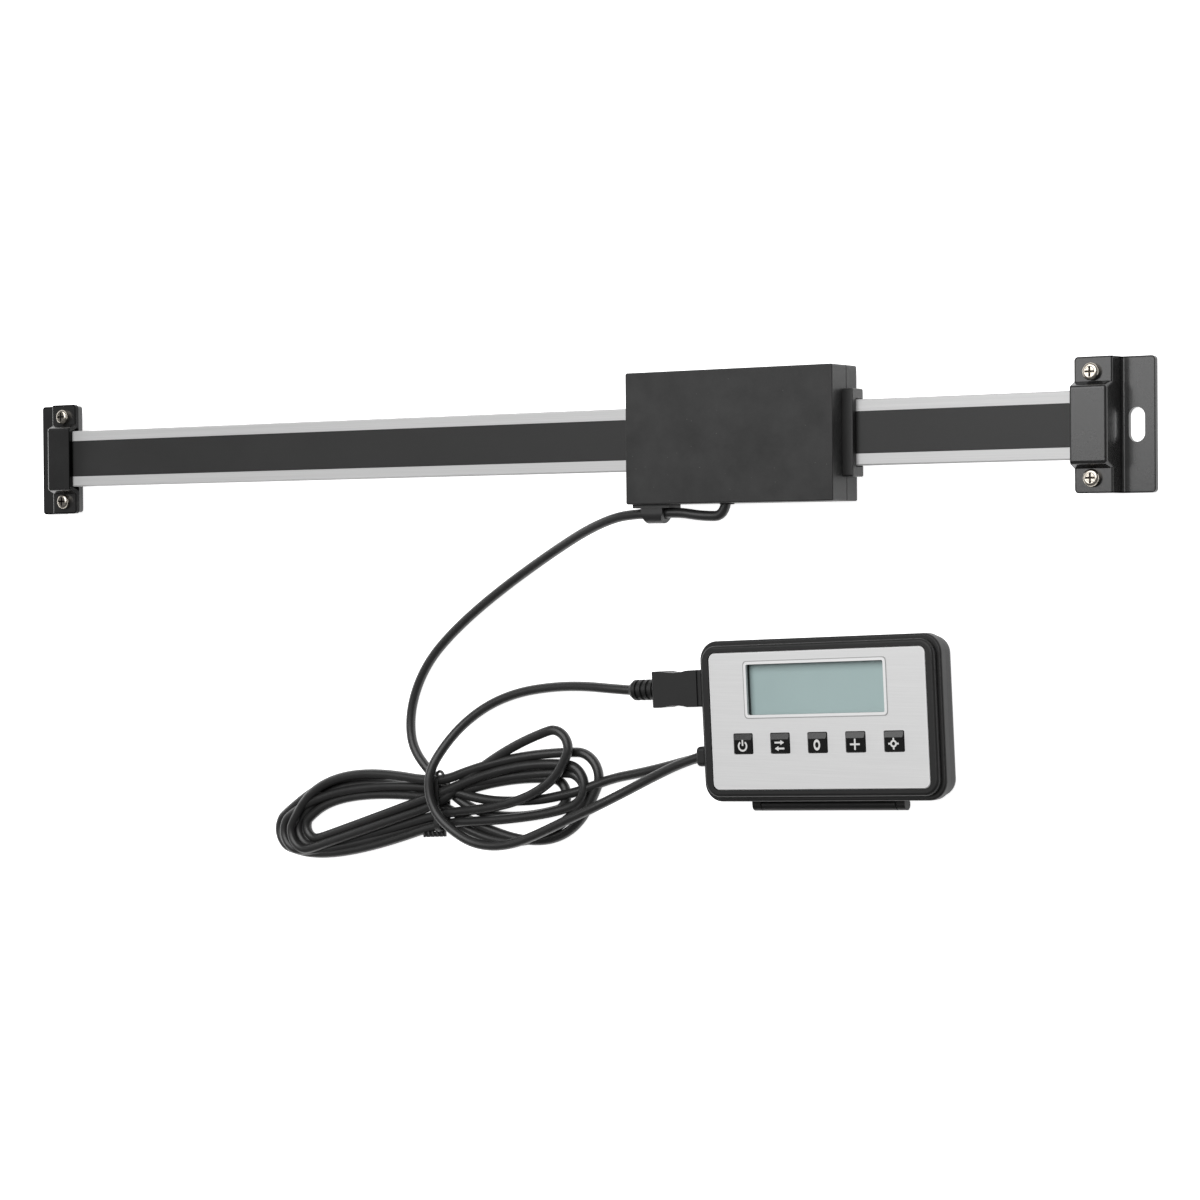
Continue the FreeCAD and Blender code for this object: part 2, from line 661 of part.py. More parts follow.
def make_mount_inserts():
    """Threaded sleeves in the reader's back, for the machine's screws."""
    high = READER_BACK + INSERT_DEEP
    sleeves = []
    for x, y in insert_places():
        sleeve = post(x, y, READER_BACK, high, INSERT_R)
        sleeves.append(sleeve.cut(post(x, y, READER_BACK - CUT_OVER, high + CUT_OVER, M3)))
    return group(sleeves)


def make_guide_strips():
    """Slippery strips under the beam, on the reader's floor."""
    low, high = READER_BACK + READER_WALL, BEAM_BACK - RUN
    strips = []
    for side in (-1, 1):
        y = BEAM_Y + side * GUIDE_SPREAD / 2
        strips.append(slab(READER_X, y, GUIDE_LENGTH, GUIDE_WIDTH, 0, low, high))
    return group(strips)


def make_wiper(side):
    """Collar round the beam at one end of the reader, with a rounded outer rim."""
    low, high = BEAM_BACK - WIPER_BELOW, BEAM_FRONT + WIPER_ABOVE
    half = WIPER_HEIGHT / 2
    points = [(-half, low), (half, low), (half, high), (-half, high)]
    face = READER_RIGHT if side > 0 else READER_LEFT - WIPER_LENGTH
    outer_x = face + WIPER_LENGTH if side > 0 else face
    collar = along_x(points, [WIPER_EDGE] * 4, face, face + WIPER_LENGTH)
    collar = ease(collar, WIPER_EDGE / 2, lambda edge: abs(edge.BoundBox.XMin - outer_x) < 1e-4
                  and abs(edge.BoundBox.XMax - outer_x) < 1e-4)
    collar.translate(V(0, BEAM_Y, 0))
    return collar.cut(beam_tunnel(BEAM_FRONT + RUN))


def make_reader_board():
    """Circuit board above the beam, drilled for its four screws."""
    board = slab(READER_X, BEAM_Y, READER_BOARD_LENGTH, READER_BOARD_HEIGHT, READER_CORNER,
                 READER_BOARD_Z, READER_BOARD_Z + BOARD_THICK)
    for x, y in board_post_places():
        board = board.cut(post(x, y, 0, READER_FRONT, M2 / 2 + SCREW_CLEAR))
    return board


def make_sensor():
    """Magnetic pickup under the board, close over the tape."""
    return slab(READER_X, BEAM_Y, SENSOR_LENGTH, SENSOR_WIDTH, READER_CORNER,
                READER_BOARD_Z - SENSOR_TALL, READER_BOARD_Z)


def make_board_screws():
    """Small screws that hold the board to its posts."""
    reach = BOARD_THICK + READER_WALL / 2
    screw = facing_down(pan_screw(M2 / 2 - SCREW_CLEAR / 2, M2_HEAD - M2 / 2, M2_HEAD_TALL, reach))
    return group([moved(screw, x, y, READER_BOARD_Z) for x, y in board_post_places()])


def make_cable_grommet():
    """Rubber bush that guards the cable where it leaves the reader's lower wall."""
    x, y, z = READER_X + CABLE_EXIT_X, READER_WALL_Y, CABLE_EXIT_Z
    axis = V(0, 1, 0)
    length = GROMMET_PROUD + READER_WALL
    neck = Part.makeCylinder(GROMMET_NECK_R - FIT, length, V(x, y - GROMMET_PROUD, z), axis)
    inside = Part.makeCylinder(GROMMET_BACK_R, GROMMET_LIP, V(x, y + READER_WALL, z), axis)
    bush = fuse_all([neck, inside])
    return bush.cut(Part.makeCylinder(CABLE_R + FIT, 4 * READER_WALL, V(x, y - READER_WALL, z), axis))


def clip_middle():
    """Middle of the cable clip along the reader's lower wall."""
    return READER_LEFT + CLIP_INSET


def make_clip_pad():
    """Sticky pad between the clip and the reader's lower wall."""
    x = clip_middle()
    return block(x - CLIP_LENGTH / 2, x + CLIP_LENGTH / 2, READER_WALL_Y - CLIP_PAD, READER_WALL_Y,
                 CABLE_EXIT_Z - CLIP_TALL / 2, CABLE_EXIT_Z + CLIP_TALL / 2)


def make_cable_clip():
    """Saddle clip: a base strip and a rounded loop, narrower at its outside, that holds the cable."""
    x = clip_middle()
    top = READER_WALL_Y - CLIP_PAD
    centre = READER_WALL_Y - CLIP_CABLE_DROP
    outer = CABLE_R + FIT + CLIP_WALL
    low, high = CABLE_EXIT_Z - CLIP_TALL / 2, CABLE_EXIT_Z + CLIP_TALL / 2
    base = block(x - CLIP_LENGTH / 2, x + CLIP_LENGTH / 2, top - CLIP_BASE, top, low, high)
    left, right = x - CLIP_SADDLE / 2, x + CLIP_SADDLE / 2
    cheeks = block(left, right, centre, top, CABLE_EXIT_Z - outer, CABLE_EXIT_Z + outer)
    loop = rod_x(left, right, centre, CABLE_EXIT_Z, outer)
    bottom = centre - outer
    plan = [(left + CLIP_TAPER, bottom), (right - CLIP_TAPER, bottom), (right, centre), (right, top), (left, top),
            (left, centre)]
    saddle = cheeks.fuse(loop).common(prism(rounded_wire(plan, [0] * len(plan), low), high - low))
    bore = rod_x(left - CLIP_LENGTH, right + CLIP_LENGTH, centre, CABLE_EXIT_Z, CABLE_R + FIT)
    return fuse_all([base, saddle]).cut(bore)


# Readout

def on_readout(shape):
    """Put a piece that was drawn round the readout's middle where the readout lies."""
    placed = shape.copy()
    placed.rotate(V(0, 0, 0), V(0, 0, 1), READOUT_TURN)
    placed.translate(V(READOUT_X, READOUT_Y, 0))
    return placed


def readout_point(x, y, z):
    """A point of the readout's own frame, on the table."""
    turn = math.radians(READOUT_TURN)
    return (READOUT_X + x * math.cos(turn) - y * math.sin(turn),
            READOUT_Y + x * math.sin(turn) + y * math.cos(turn), z)


def button_places():
    """Middles of the five buttons, left to right."""
    return [((index - (BUTTON_COUNT - 1) / 2) * BUTTON_PITCH, -BUTTON_DROP) for index in range(BUTTON_COUNT)]


def button_opening(x, y):
    """Opening through plate and front skin for one button."""
    grow = 2 * BUTTON_GAP
    return slab(x, y, BUTTON_WIDTH + grow, BUTTON_HEIGHT + grow, BUTTON_EDGE, SKIN_UNDER - CUT_OVER, FRONT_Z)


def socket_opening():
    """Opening in the left wall for the plug's socket."""
    half_y = SHELL_WIDTH / 2 + SOCKET_WALL + 2 * FIT
    half_z = SHELL_TALL / 2 + SOCKET_WALL + 2 * FIT
    down, up = PLUG_Y - half_y, PLUG_Y + half_y
    return block(-MID_WIDTH, socket_back() + FIT, down, up, PLUG_Z - half_z, PLUG_Z + half_z)


def anchor_opening():
    """Opening in the left wall for the neck of the cable anchor."""
    half_y = ANCHOR_NECK_WIDTH / 2 + FIT
    half_z = ANCHOR_NECK_TALL / 2 + FIT
    return block(-MID_WIDTH, -CAVITY_WIDTH / 2 + REAR_LIP + FIT, ANCHOR_Y - half_y, ANCHOR_Y + half_y,
                 ANCHOR_Z - half_z, ANCHOR_Z + half_z)


def make_readout_front():
    """Front housing: a raised bezel on a wider body, with the seats for plate, glass and buttons."""
    body = slab(0, 0, MID_WIDTH, MID_HEIGHT, MID_CORNER, HALF_Z, STEP_Z)
    body = ease(body, MID_EDGE, lambda edge: at_height(edge, STEP_Z))
    bezel = slab(0, 0, BEZEL_WIDTH, BEZEL_HEIGHT, BEZEL_CORNER, HALF_Z, FRONT_Z)
    bezel = ease(bezel, BEZEL_EDGE, lambda edge: at_height(edge, FRONT_Z))
    front = fuse_all([body, bezel])
    front = front.cut(slab(0, 0, CAVITY_WIDTH, CAVITY_HEIGHT, BEZEL_CORNER - BEZEL_WALL, 0, SKIN_UNDER))
    front = front.cut(slab(0, 0, PLATE_WIDTH + 2 * FIT, PLATE_HEIGHT + 2 * FIT, PLATE_CORNER, PLATE_SEAT,
                           FRONT_Z + CUT_OVER))
    front = front.cut(slab(LCD_SHIFT, LCD_RAISE, LCD_WIDTH, LCD_HEIGHT, LCD_CORNER, SKIN_UNDER - CUT_OVER, FRONT_Z))
    for x, y in button_places():
        front = front.cut(button_opening(x, y))
    bosses = [post(x, y, HALF_Z, SKIN_UNDER, CASE_BOSS_R) for x, y in corners_of(CASE_BOSS_X, CASE_BOSS_Y)]
    front = fuse_all([front] + bosses)
    for x, y in corners_of(CASE_BOSS_X, CASE_BOSS_Y):
        front = front.cut(post(x, y, 0, SKIN_UNDER - FIT, M2))
    return front.cut(socket_opening()).cut(anchor_opening())


def stand_outline(grow, low, high):
    """Flat frame of the stand's plate, grown by a gap for its recess: the rim and the open window."""
    length = STAND_TOP_Y - STAND_PIVOT_Y
    middle = (STAND_TOP_Y + STAND_PIVOT_Y) / 2
    plate = slab(STAND_SHIFT, middle, STAND_PLATE_WIDTH + 2 * grow, length + 2 * grow, STAND_CORNER, low, high)
    window = slab(STAND_SHIFT, DOOR_Y, STAND_WINDOW_WIDTH - 2 * grow, STAND_WINDOW_HEIGHT - 2 * grow,
                  STAND_CORNER, low - CUT_OVER, high + CUT_OVER)
    return plate.cut(window)


def stand_ear(side):
    """Ear on the readout's lower edge, closed on its outside, that carries one hinge pin."""
    outer = STAND_SHIFT + side * STAND_WIDTH / 2
    inner = outer - side * STAND_EAR
    left, right = min(outer, inner), max(outer, inner)
    knuckle = rod_x(left, right, STAND_PIVOT_Y, STAND_PIVOT_Z, STAND_BARREL_R)
    web = block(left, right, STAND_PIVOT_Y, -REAR_HEIGHT / 2 + REAR_LIP,
                STAND_PIVOT_Z - STAND_BARREL_R * 0.5, STAND_PIVOT_Z + STAND_BARREL_R)
    bore_r = HINGE_PIN_R + SCREW_CLEAR / 2
    ends = sorted((outer - side * STAND_CAP, inner - side * CUT_OVER))
    return knuckle.fuse(web).cut(rod_x(ends[0], ends[1], STAND_PIVOT_Y, STAND_PIVOT_Z, bore_r))


def make_readout_rear():
    """Rear housing: a rounded back with the stand's recess, the battery well and the hinge ears."""
    top = HALF_Z - SEAM
    rear = slab(0, 0, REAR_WIDTH, REAR_HEIGHT, REAR_CORNER, 0, top)
    rear = ease(rear, REAR_EDGE, lambda edge: at_height(edge, 0))
    lip_width, lip_height = CAVITY_WIDTH - 2 * FIT, CAVITY_HEIGHT - 2 * FIT
    lip_corner = BEZEL_CORNER - BEZEL_WALL
    lip = slab(0, 0, lip_width, lip_height, lip_corner, REAR_INSIDE, HALF_Z + REAR_LIP_TALL)
    rear = rear.fuse(lip)
    rear = rear.cut(slab(0, 0, lip_width - 2 * REAR_LIP, lip_height - 2 * REAR_LIP, lip_corner - REAR_LIP,
                         REAR_INSIDE, FRONT_Z))
    places = corners_of(CASE_BOSS_X, CASE_BOSS_Y)
    additions = [post(x, y, REAR_INSIDE, top, CASE_BOSS_R + FIT) for x, y in places]
    additions += [post(x, y, REAR_INSIDE, BOARD_UNDER, PEG_R) for x, y in corners_of(PEG_X, PEG_Y)]
    additions += [stand_ear(-1), stand_ear(1)]
    rear = fuse_all([rear] + additions)
    for x, y in corners_of(CASE_BOSS_X, CASE_BOSS_Y):
        rear = rear.cut(post(x, y, -CUT_OVER, FRONT_Z, M2 + SCREW_CLEAR))
        rear = rear.cut(post(x, y, -CUT_OVER, M2_HEAD_TALL + RUN, M2_HEAD + SCREW_CLEAR))
    rear = rear.cut(stand_outline(STAND_GAP, -CUT_OVER, RECESS_DEEP))
    rear = rear.cut(post(0, DOOR_Y, -CUT_OVER, DOOR_THICK + RUN, DOOR_R + RUN))
    rear = rear.cut(post(0, DOOR_Y, 0, BOARD_UNDER, CELL_R + RUN))
    return rear.cut(socket_opening()).cut(anchor_opening())


def make_face_plate():
    """Thin plate with a bevelled rim, the window and the button openings."""
    top = PLATE_SEAT + PLATE_THICK
    plate = slab(0, 0, PLATE_WIDTH, PLATE_HEIGHT, PLATE_CORNER, PLATE_SEAT, top)
    plate = plate.makeChamfer(PLATE_BEVEL, [edge for edge in plate.Edges if at_height(edge, top)])
    plate = plate.cut(slab(LCD_SHIFT, LCD_RAISE, LCD_WIDTH, LCD_HEIGHT, LCD_CORNER, 0, FRONT_Z))
    for x, y in button_places():
        plate = plate.cut(button_opening(x, y))
    return plate


def make_lcd_window():
    """Clear sheet behind the window opening."""
    width, height = LCD_WIDTH + 2 * WINDOW_MARGIN, LCD_HEIGHT + 2 * WINDOW_MARGIN
    return slab(LCD_SHIFT, LCD_RAISE, width, height, LCD_CORNER, SKIN_UNDER - WINDOW_THICK, SKIN_UNDER)


def lcd_levels():
    """Lower and upper face of the display panel."""
    high = SKIN_UNDER - WINDOW_THICK - FIT
    return high - LCD_THICK, high


def make_lcd_panel():
    """Display panel behind the clear sheet."""
    low, high = lcd_levels()
    width, height = LCD_WIDTH + 2 * LCD_MARGIN, LCD_HEIGHT + 2 * WINDOW_MARGIN
    return slab(LCD_SHIFT, LCD_RAISE, width, height, LCD_CORNER, low, high)


def make_lcd_frame():
    """Open frame that holds the panel off the board."""
    low, high = lcd_levels()
    width, height = LCD_WIDTH + 2 * LCD_MARGIN, LCD_HEIGHT + 2 * WINDOW_MARGIN
    frame = slab(LCD_SHIFT, LCD_RAISE, width, height, LCD_CORNER, BOARD_TOP, low)
    rim = 2 * LCD_MARGIN
    return frame.cut(slab(LCD_SHIFT, LCD_RAISE, width - rim, height - rim, LCD_CORNER, 0, FRONT_Z))


def make_readout_board():
    """Circuit board with a cut-out for the socket."""
    board = slab(0, 0, BOARD_WIDTH, BOARD_HEIGHT, MID_EDGE, BOARD_UNDER, BOARD_TOP)
    half = SHELL_WIDTH / 2 + SOCKET_WALL + FIT
    return board.cut(block(-MID_WIDTH, socket_back() + FIT, PLUG_Y - half, PLUG_Y + half, 0, FRONT_Z))


def socket_front():
    """Outer end of the socket, just inside the front housing's left wall."""
    return -MID_WIDTH / 2 + BEZEL_WALL


def socket_back():
    """Inner end of the socket, on the board."""
    return socket_front() + SOCKET_LENGTH + SOCKET_FLANGE


def make_usb_socket():
    """Metal socket on the board's edge, with feet that sit on the board."""
    half_y, half_z = SHELL_WIDTH / 2 + SOCKET_WALL, SHELL_TALL / 2 + SOCKET_WALL
    down, up = PLUG_Y - half_y, PLUG_Y + half_y
    body = block(socket_front(), socket_back(), down, up, PLUG_Z - half_z, PLUG_Z + half_z)
    feet = block(socket_back() - SOCKET_FLANGE, socket_back() + SOCKET_FLANGE,
                 down - SOCKET_FLANGE, up + SOCKET_FLANGE, BOARD_TOP, BOARD_TOP + SOCKET_WALL)
    hollow = block(socket_front() - CUT_OVER, socket_front() + SOCKET_LENGTH,
                   PLUG_Y - SHELL_WIDTH / 2 - FIT, PLUG_Y + SHELL_WIDTH / 2 + FIT,
                   PLUG_Z - SHELL_TALL / 2 - FIT, PLUG_Z + SHELL_TALL / 2 + FIT)
    return fuse_all([body, feet]).cut(hollow)


def make_button():
    """Button cap with a soft top edge that slopes down at its far side, on a skirt that keeps it in."""
    low = SKIN_UNDER - BUTTON_GAP - BUTTON_SKIRT
    high = PLATE_SEAT + PLATE_THICK + BUTTON_PROUD
    cap = slab(0, 0, BUTTON_WIDTH, BUTTON_HEIGHT, BUTTON_EDGE, low, high)
    cap = ease(cap, BUTTON_EDGE * 0.8, lambda edge: at_height(edge, high))
    edge_y, above = BUTTON_HEIGHT / 2, high + CUT_OVER
    slope = [(edge_y - BUTTON_SLOPE, high), (edge_y, high - BUTTON_FALL), (edge_y + CUT_OVER, high - BUTTON_FALL),
             (edge_y + CUT_OVER, above), (edge_y - BUTTON_SLOPE, above)]
    cap = cap.cut(along_x(slope, [0] * len(slope), -BUTTON_WIDTH, BUTTON_WIDTH))
    skirt = slab(0, 0, BUTTON_WIDTH + 2 * BUTTON_SKIRT, BUTTON_HEIGHT + 2 * BUTTON_SKIRT, BUTTON_EDGE,
                 low, low + BUTTON_SKIRT)
    return fuse_all([cap, skirt])


def make_button_switches():
    """Key switches on the board, one under each button."""
    high = SKIN_UNDER - BUTTON_GAP - BUTTON_SKIRT - SWITCH_GAP
    body_top = BOARD_TOP + (high - BOARD_TOP) * 0.75
    switches = []
    for x, y in button_places():
        body = slab(x, y, SWITCH_SIZE, SWITCH_SIZE, MID_EDGE, BOARD_TOP, body_top)
        switches.append(body.fuse(post(x, y, body_top, high, SWITCH_SIZE / 4)))
    return group(switches)


def make_case_screws():
    """Screws from the back that hold the readout's halves together."""
    seat = M2_HEAD_TALL + RUN
    reach = SKIN_UNDER - 2 * CUT_OVER - seat
    screw = facing_down(pan_screw(M2 - SCREW_CLEAR / 2, M2_HEAD, M2_HEAD_TALL, reach))
    return group([moved(screw, x, y, seat) for x, y in corners_of(CASE_BOSS_X, CASE_BOSS_Y)])


def make_battery_door():
    """Round door with a coin slot."""
    door = post(0, DOOR_Y, FIT, DOOR_THICK, DOOR_R)
    half_x, half_y = COIN_SLOT_LENGTH / 2, COIN_SLOT_WIDTH / 2
    return door.cut(block(-half_x, half_x, DOOR_Y - half_y, DOOR_Y + half_y, -CUT_OVER, COIN_SLOT_DEEP))


def make_coin_cell():
    """Coin cell on the door."""
    low = DOOR_THICK + RUN
    cell = post(0, DOOR_Y, low, low + CELL_THICK, CELL_R)
    return ease(cell, RUN, lambda edge: at_height(edge, low + CELL_THICK))


def make_battery_contact():
    """Leaf spring between the cell and the board: two feet on the board and a bowed middle on the cell."""
    low = DOOR_THICK + RUN + CELL_THICK
    half = CONTACT_LENGTH / 2
    third = half / 3
    bend = half - third
    under = BOARD_UNDER - CONTACT_THICK
    lower = [(-half, under), (-bend, under), (-third, low), (third, low), (bend, under), (half, under)]
    points = lower + [(x, z + CONTACT_THICK) for x, z in reversed(lower)]
    leaf = Part.Face(rounded_wire(points, [0] * len(points))).extrude(V(0, 0, CONTACT_WIDTH))
    leaf.rotate(V(0, 0, 0), V(1, 0, 0), 90)
    leaf.translate(V(0, DOOR_Y + CONTACT_WIDTH / 2, 0))
    return leaf


def make_stand():
    """Fold-out stand: a framed plate on a barrel between the two ears."""
    left, right = STAND_SHIFT - STAND_PLATE_WIDTH / 2, STAND_SHIFT + STAND_PLATE_WIDTH / 2
    barrel = rod_x(left, right, STAND_PIVOT_Y, STAND_PIVOT_Z, STAND_BARREL_R)
    plate = stand_outline(0, RUN, RUN + STAND_PLATE)
    root = block(left, right, STAND_PIVOT_Y, STAND_PIVOT_Y + STAND_CORNER, RUN, RUN + STAND_PLATE)
    stand = fuse_all([barrel, plate, root])
    return stand.cut(rod_x(-STAND_WIDTH, STAND_WIDTH, STAND_PIVOT_Y, STAND_PIVOT_Z, HINGE_PIN_R + FIT))


def make_hinge_pins():
    """Pins from the ears' blind bores into the stand's barrel."""
    reach = STAND_EAR + STAND_GAP + HINGE_PIN_REACH
    pins = []
    for side in (-1, 1):
        outer = STAND_SHIFT + side * STAND_WIDTH / 2
        ends = sorted((outer - side * (STAND_CAP + FIT), outer - side * reach))
        pins.append(rod_x(ends[0], ends[1], STAND_PIVOT_Y, STAND_PIVOT_Z, HINGE_PIN_R))
    return group(pins)


# Plug, anchor and cable

def plug_front():
    """Face of the plug that stands off the readout's left wall by the running gap."""
    return -MID_WIDTH / 2 - RUN


def plug_tail():
    """Outer end of the plug's strain relief, where the cable goes in."""
    return plug_front() - PLUG_COLLAR - PLUG_GROOVE - PLUG_LENGTH - RELIEF_NECK - RELIEF_LENGTH


def make_plug_overmould():
    """Moulded plug grip with a waist, a grooved collar and a ribbed, tapered strain relief, as one piece."""
    front = plug_front()
    end = front - PLUG_COLLAR - PLUG_GROOVE
    start = end - PLUG_LENGTH
    half, waist = PLUG_WIDTH / 2, PLUG_WAIST / 2
    low, high = PLUG_Z - PLUG_TALL / 2, PLUG_Z + PLUG_TALL / 2
    middle = (start + end) / 2
    dip, rise = middle - PLUG_LENGTH * 0.28, middle + PLUG_LENGTH * 0.28
    plan = Part.Wire([
        Part.LineSegment(V(start, -half, low), V(dip, -half, low)).toShape(),
        Part.Arc(V(dip, -half, low), V(middle, -waist, low), V(rise, -half, low)).toShape(),
        Part.LineSegment(V(rise, -half, low), V(end, -half, low)).toShape(),
        Part.LineSegment(V(end, -half, low), V(end, half, low)).toShape(),
        Part.LineSegment(V(end, half, low), V(rise, half, low)).toShape(),
        Part.Arc(V(rise, half, low), V(middle, waist, low), V(dip, half, low)).toShape(),
        Part.LineSegment(V(dip, half, low), V(start, half, low)).toShape(),
        Part.LineSegment(V(start, half, low), V(start, -half, low)).toShape(),
    ])
    grip = prism(plan, PLUG_TALL)
    grip = ease(grip, PLUG_EDGE, lambda edge: abs(edge.BoundBox.XMax - start) < 1e-4)
    grip.translate(V(0, PLUG_Y, 0))
    inset = PLUG_GROOVE_DEEP
    down, up = PLUG_Y - half, PLUG_Y + half
    groove = block(end - inset, front, down + inset, up - inset, low + inset, high - inset)
    collar = block(end + PLUG_GROOVE, front, down, up, low, high)
    collar = ease(collar, inset, lambda edge: abs(edge.BoundBox.XMax - edge.BoundBox.XMin) > inset)
    pieces = [grip, groove, collar, rod_x(start - RELIEF_NECK, start + inset, PLUG_Y, PLUG_Z, RELIEF_NECK_R)]
    tail = plug_tail()
    pieces.append(Part.makeCone(RELIEF_TIP_R, RELIEF_R, RELIEF_TAPER, V(tail, PLUG_Y, PLUG_Z), V(1, 0, 0)))
    rib = tail + RELIEF_TAPER
    pieces.append(rod_x(rib, start - RELIEF_NECK, PLUG_Y, PLUG_Z, RELIEF_NECK_R))
    while rib + RELIEF_RIB <= start:
        pieces.append(rod_x(rib, rib + RELIEF_RIB, PLUG_Y, PLUG_Z, RELIEF_R))
        rib += RELIEF_RIB + RELIEF_RIB_GAP
    return fuse_all(pieces)


def make_plug_shell():
    """Metal tongue of the plug, in its socket."""
    front = plug_front()
    tip = front + RUN + BEZEL_WALL + SHELL_REACH
    half_y, half_z = SHELL_WIDTH / 2, SHELL_TALL / 2
    return block(front, tip, PLUG_Y - half_y, PLUG_Y + half_y, PLUG_Z - half_z, PLUG_Z + half_z)


def anchor_face():
    """Outer face of the cable anchor."""
    return -MID_WIDTH / 2 - ANCHOR_PROUD


def make_cable_anchor():
    """Rubber anchor in the left wall, in which the cable doubles back."""
    wall = -MID_WIDTH / 2
    half_y, half_z = ANCHOR_WIDTH / 2, ANCHOR_TALL / 2
    down, up = ANCHOR_Y - half_y, ANCHOR_Y + half_y
    bump = block(anchor_face(), wall - FIT, down, up, ANCHOR_Z - half_z, ANCHOR_Z + half_z)
    bump = ease(bump, ANCHOR_EDGE, lambda edge: edge.BoundBox.XMin < wall - 2 * FIT)
    neck_y, neck_z = ANCHOR_NECK_WIDTH / 2, ANCHOR_NECK_TALL / 2
    neck = block(wall - 2 * FIT, -CAVITY_WIDTH / 2 + REAR_LIP, ANCHOR_Y - neck_y, ANCHOR_Y + neck_y,
                 ANCHOR_Z - neck_z, ANCHOR_Z + neck_z)
    return fuse_all([bump, neck])


def tube(points, name):
    """Round cable along straight runs joined by arcs as large as the runs allow; prints its facts."""
    stops = [V(*point) for point in points]
    edges = []
    radii = []
    reached = stops[0]
    for index in range(1, len(stops) - 1):
        corner = stops[index]
        back = stops[index - 1] - corner
        ahead = stops[index + 1] - corner
        reach = 0.45 * min(back.Length, ahead.Length)
        half = back.getAngle(ahead) / 2
        radius = reach * math.tan(half)
        radii.append(radius)
        back.normalize()
        ahead.normalize()
        first, last = corner + back * reach, corner + ahead * reach
        inward = (back + ahead).normalize()
        middle = corner + inward * (radius / math.sin(half) - radius)
        edges.append(Part.LineSegment(reached, first).toShape())
        edges.append(Part.Arc(first, middle, last).toShape())
        reached = last
    edges.append(Part.LineSegment(reached, stops[-1]).toShape())
    path = Part.Wire(edges)
    section = Part.Wire([Part.Circle(stops[0], stops[1] - stops[0], CABLE_R).toShape()])
    solid = path.makePipeShell([section], True, False)
    ideal = math.pi * CABLE_R ** 2 * path.Length
    print(name, "length", round(path.Length, 1), "volume share", round(solid.Volume / ideal, 4),
          "tightest", round(min(radii), 1), "radii", [round(radius, 1) for radius in radii])
    return solid


def lead_points():
    """Route of the cable from inside the reader, through the clip, to the hank."""
    x = READER_X + CABLE_EXIT_X
    y = READER_WALL_Y - LEAD_DIP
    clip_y = READER_WALL_Y - CLIP_CABLE_DROP
    clip_x = clip_middle()
    start = [(x, y + LEAD_START_RUN, CABLE_EXIT_Z), (x, y, CABLE_EXIT_Z),
             (x - LEAD_SIDE_RUN, y - LEAD_SAG, CABLE_EXIT_Z)]
    clip = [(clip_x + CLIP_RUN_IN, clip_y + FIT, CABLE_EXIT_Z), (clip_x + CLIP_RUN_MIDDLE, clip_y, CABLE_EXIT_Z),
            (clip_x - CLIP_RUN_OUT, clip_y - FIT, CABLE_EXIT_Z - FIT)]
    return start + clip + LEAD_ROUTE


def feed_points():
    """Route of the cable from the hank into the anchor."""
    z = ANCHOR_Z - STRAND_SPLIT / 2
    face = anchor_face()
    return FEED_ROUTE + [readout_point(face - END_RUN, ANCHOR_Y, z), readout_point(face, ANCHOR_Y, z)]


def plug_lead_points():
    """Route of the cable from the plug over the hank into the anchor."""
    z = ANCHOR_Z + STRAND_SPLIT / 2
    tail, face = plug_tail(), anchor_face()
    start = [readout_point(tail, PLUG_Y, PLUG_Z), readout_point(tail - END_RUN, PLUG_Y, PLUG_Z)]
    end = [readout_point(face - END_RUN, ANCHOR_Y, z), readout_point(face, ANCHOR_Y, z)]
    return start + PLUG_ROUTE + end


def make_hank():
    """Tied hank of spare cable: one solid of its outer shape, with the open eye of the left loop."""
    hank = prism(soft_wire(HANK_OUTLINE, HANK_BEND, HANK_BOTTOM), HANK_TOP - HANK_BOTTOM)
    return hank.cut(prism(soft_wire(HANK_EYE, HANK_BEND, HANK_BOTTOM - CUT_OVER), HANK_TOP + CUT_OVER))


def make_tie():
    """Band round the hank's waist."""
    outer = block(TIE_X, TIE_X + TIE_WIDTH, TIE_LOW_Y - TIE_THICK, TIE_HIGH_Y + TIE_THICK,
                  HANK_BOTTOM - FIT - TIE_THICK, HANK_TOP + FIT + TIE_THICK)
    outer = ease(outer, CABLE_R, lambda edge: abs(edge.BoundBox.XMax - edge.BoundBox.XMin) > FIT)
    return outer.cut(block(TIE_X - CUT_OVER, TIE_X + TIE_WIDTH + CUT_OVER, TIE_LOW_Y, TIE_HIGH_Y,
                           HANK_BOTTOM - FIT, HANK_TOP + FIT))


def scale_pieces():
    """Everything that the machine's fixed side carries: beam, tape and brackets."""
    pieces = {"beam": make_beam(), "magnetic_tape": make_tape()}
    bracket, plate, screws = make_bracket(), make_clamp_plate(), make_ear_screws()
    for name, side in (("left", -1), ("right", 1)):
        pieces[name + "_bracket"] = at_beam_end(bracket, side)
        pieces[name + "_clamp_plate"] = at_beam_end(plate, side)
    pieces["bracket_screws"] = group([at_beam_end(screw, side) for side in (-1, 1) for screw in screws])
    return pieces


def reader_pieces():
    """The reader head that slides on the beam."""
    return {
        "reader_cover": make_reader_cover(),
        "reader_base": make_reader_base(),
        "left_wiper": make_wiper(-1),
        "right_wiper": make_wiper(1),
        "guide_strips": make_guide_strips(),
        "reader_board": make_reader_board(),
        "sensor_block": make_sensor(),
        "board_screws": make_board_screws(),
        "reader_screws": make_reader_screws(),
        "mount_inserts": make_mount_inserts(),
        "cable_grommet": make_cable_grommet(),
        "cable_clip": make_cable_clip(),
        "clip_pad": make_clip_pad(),
    }


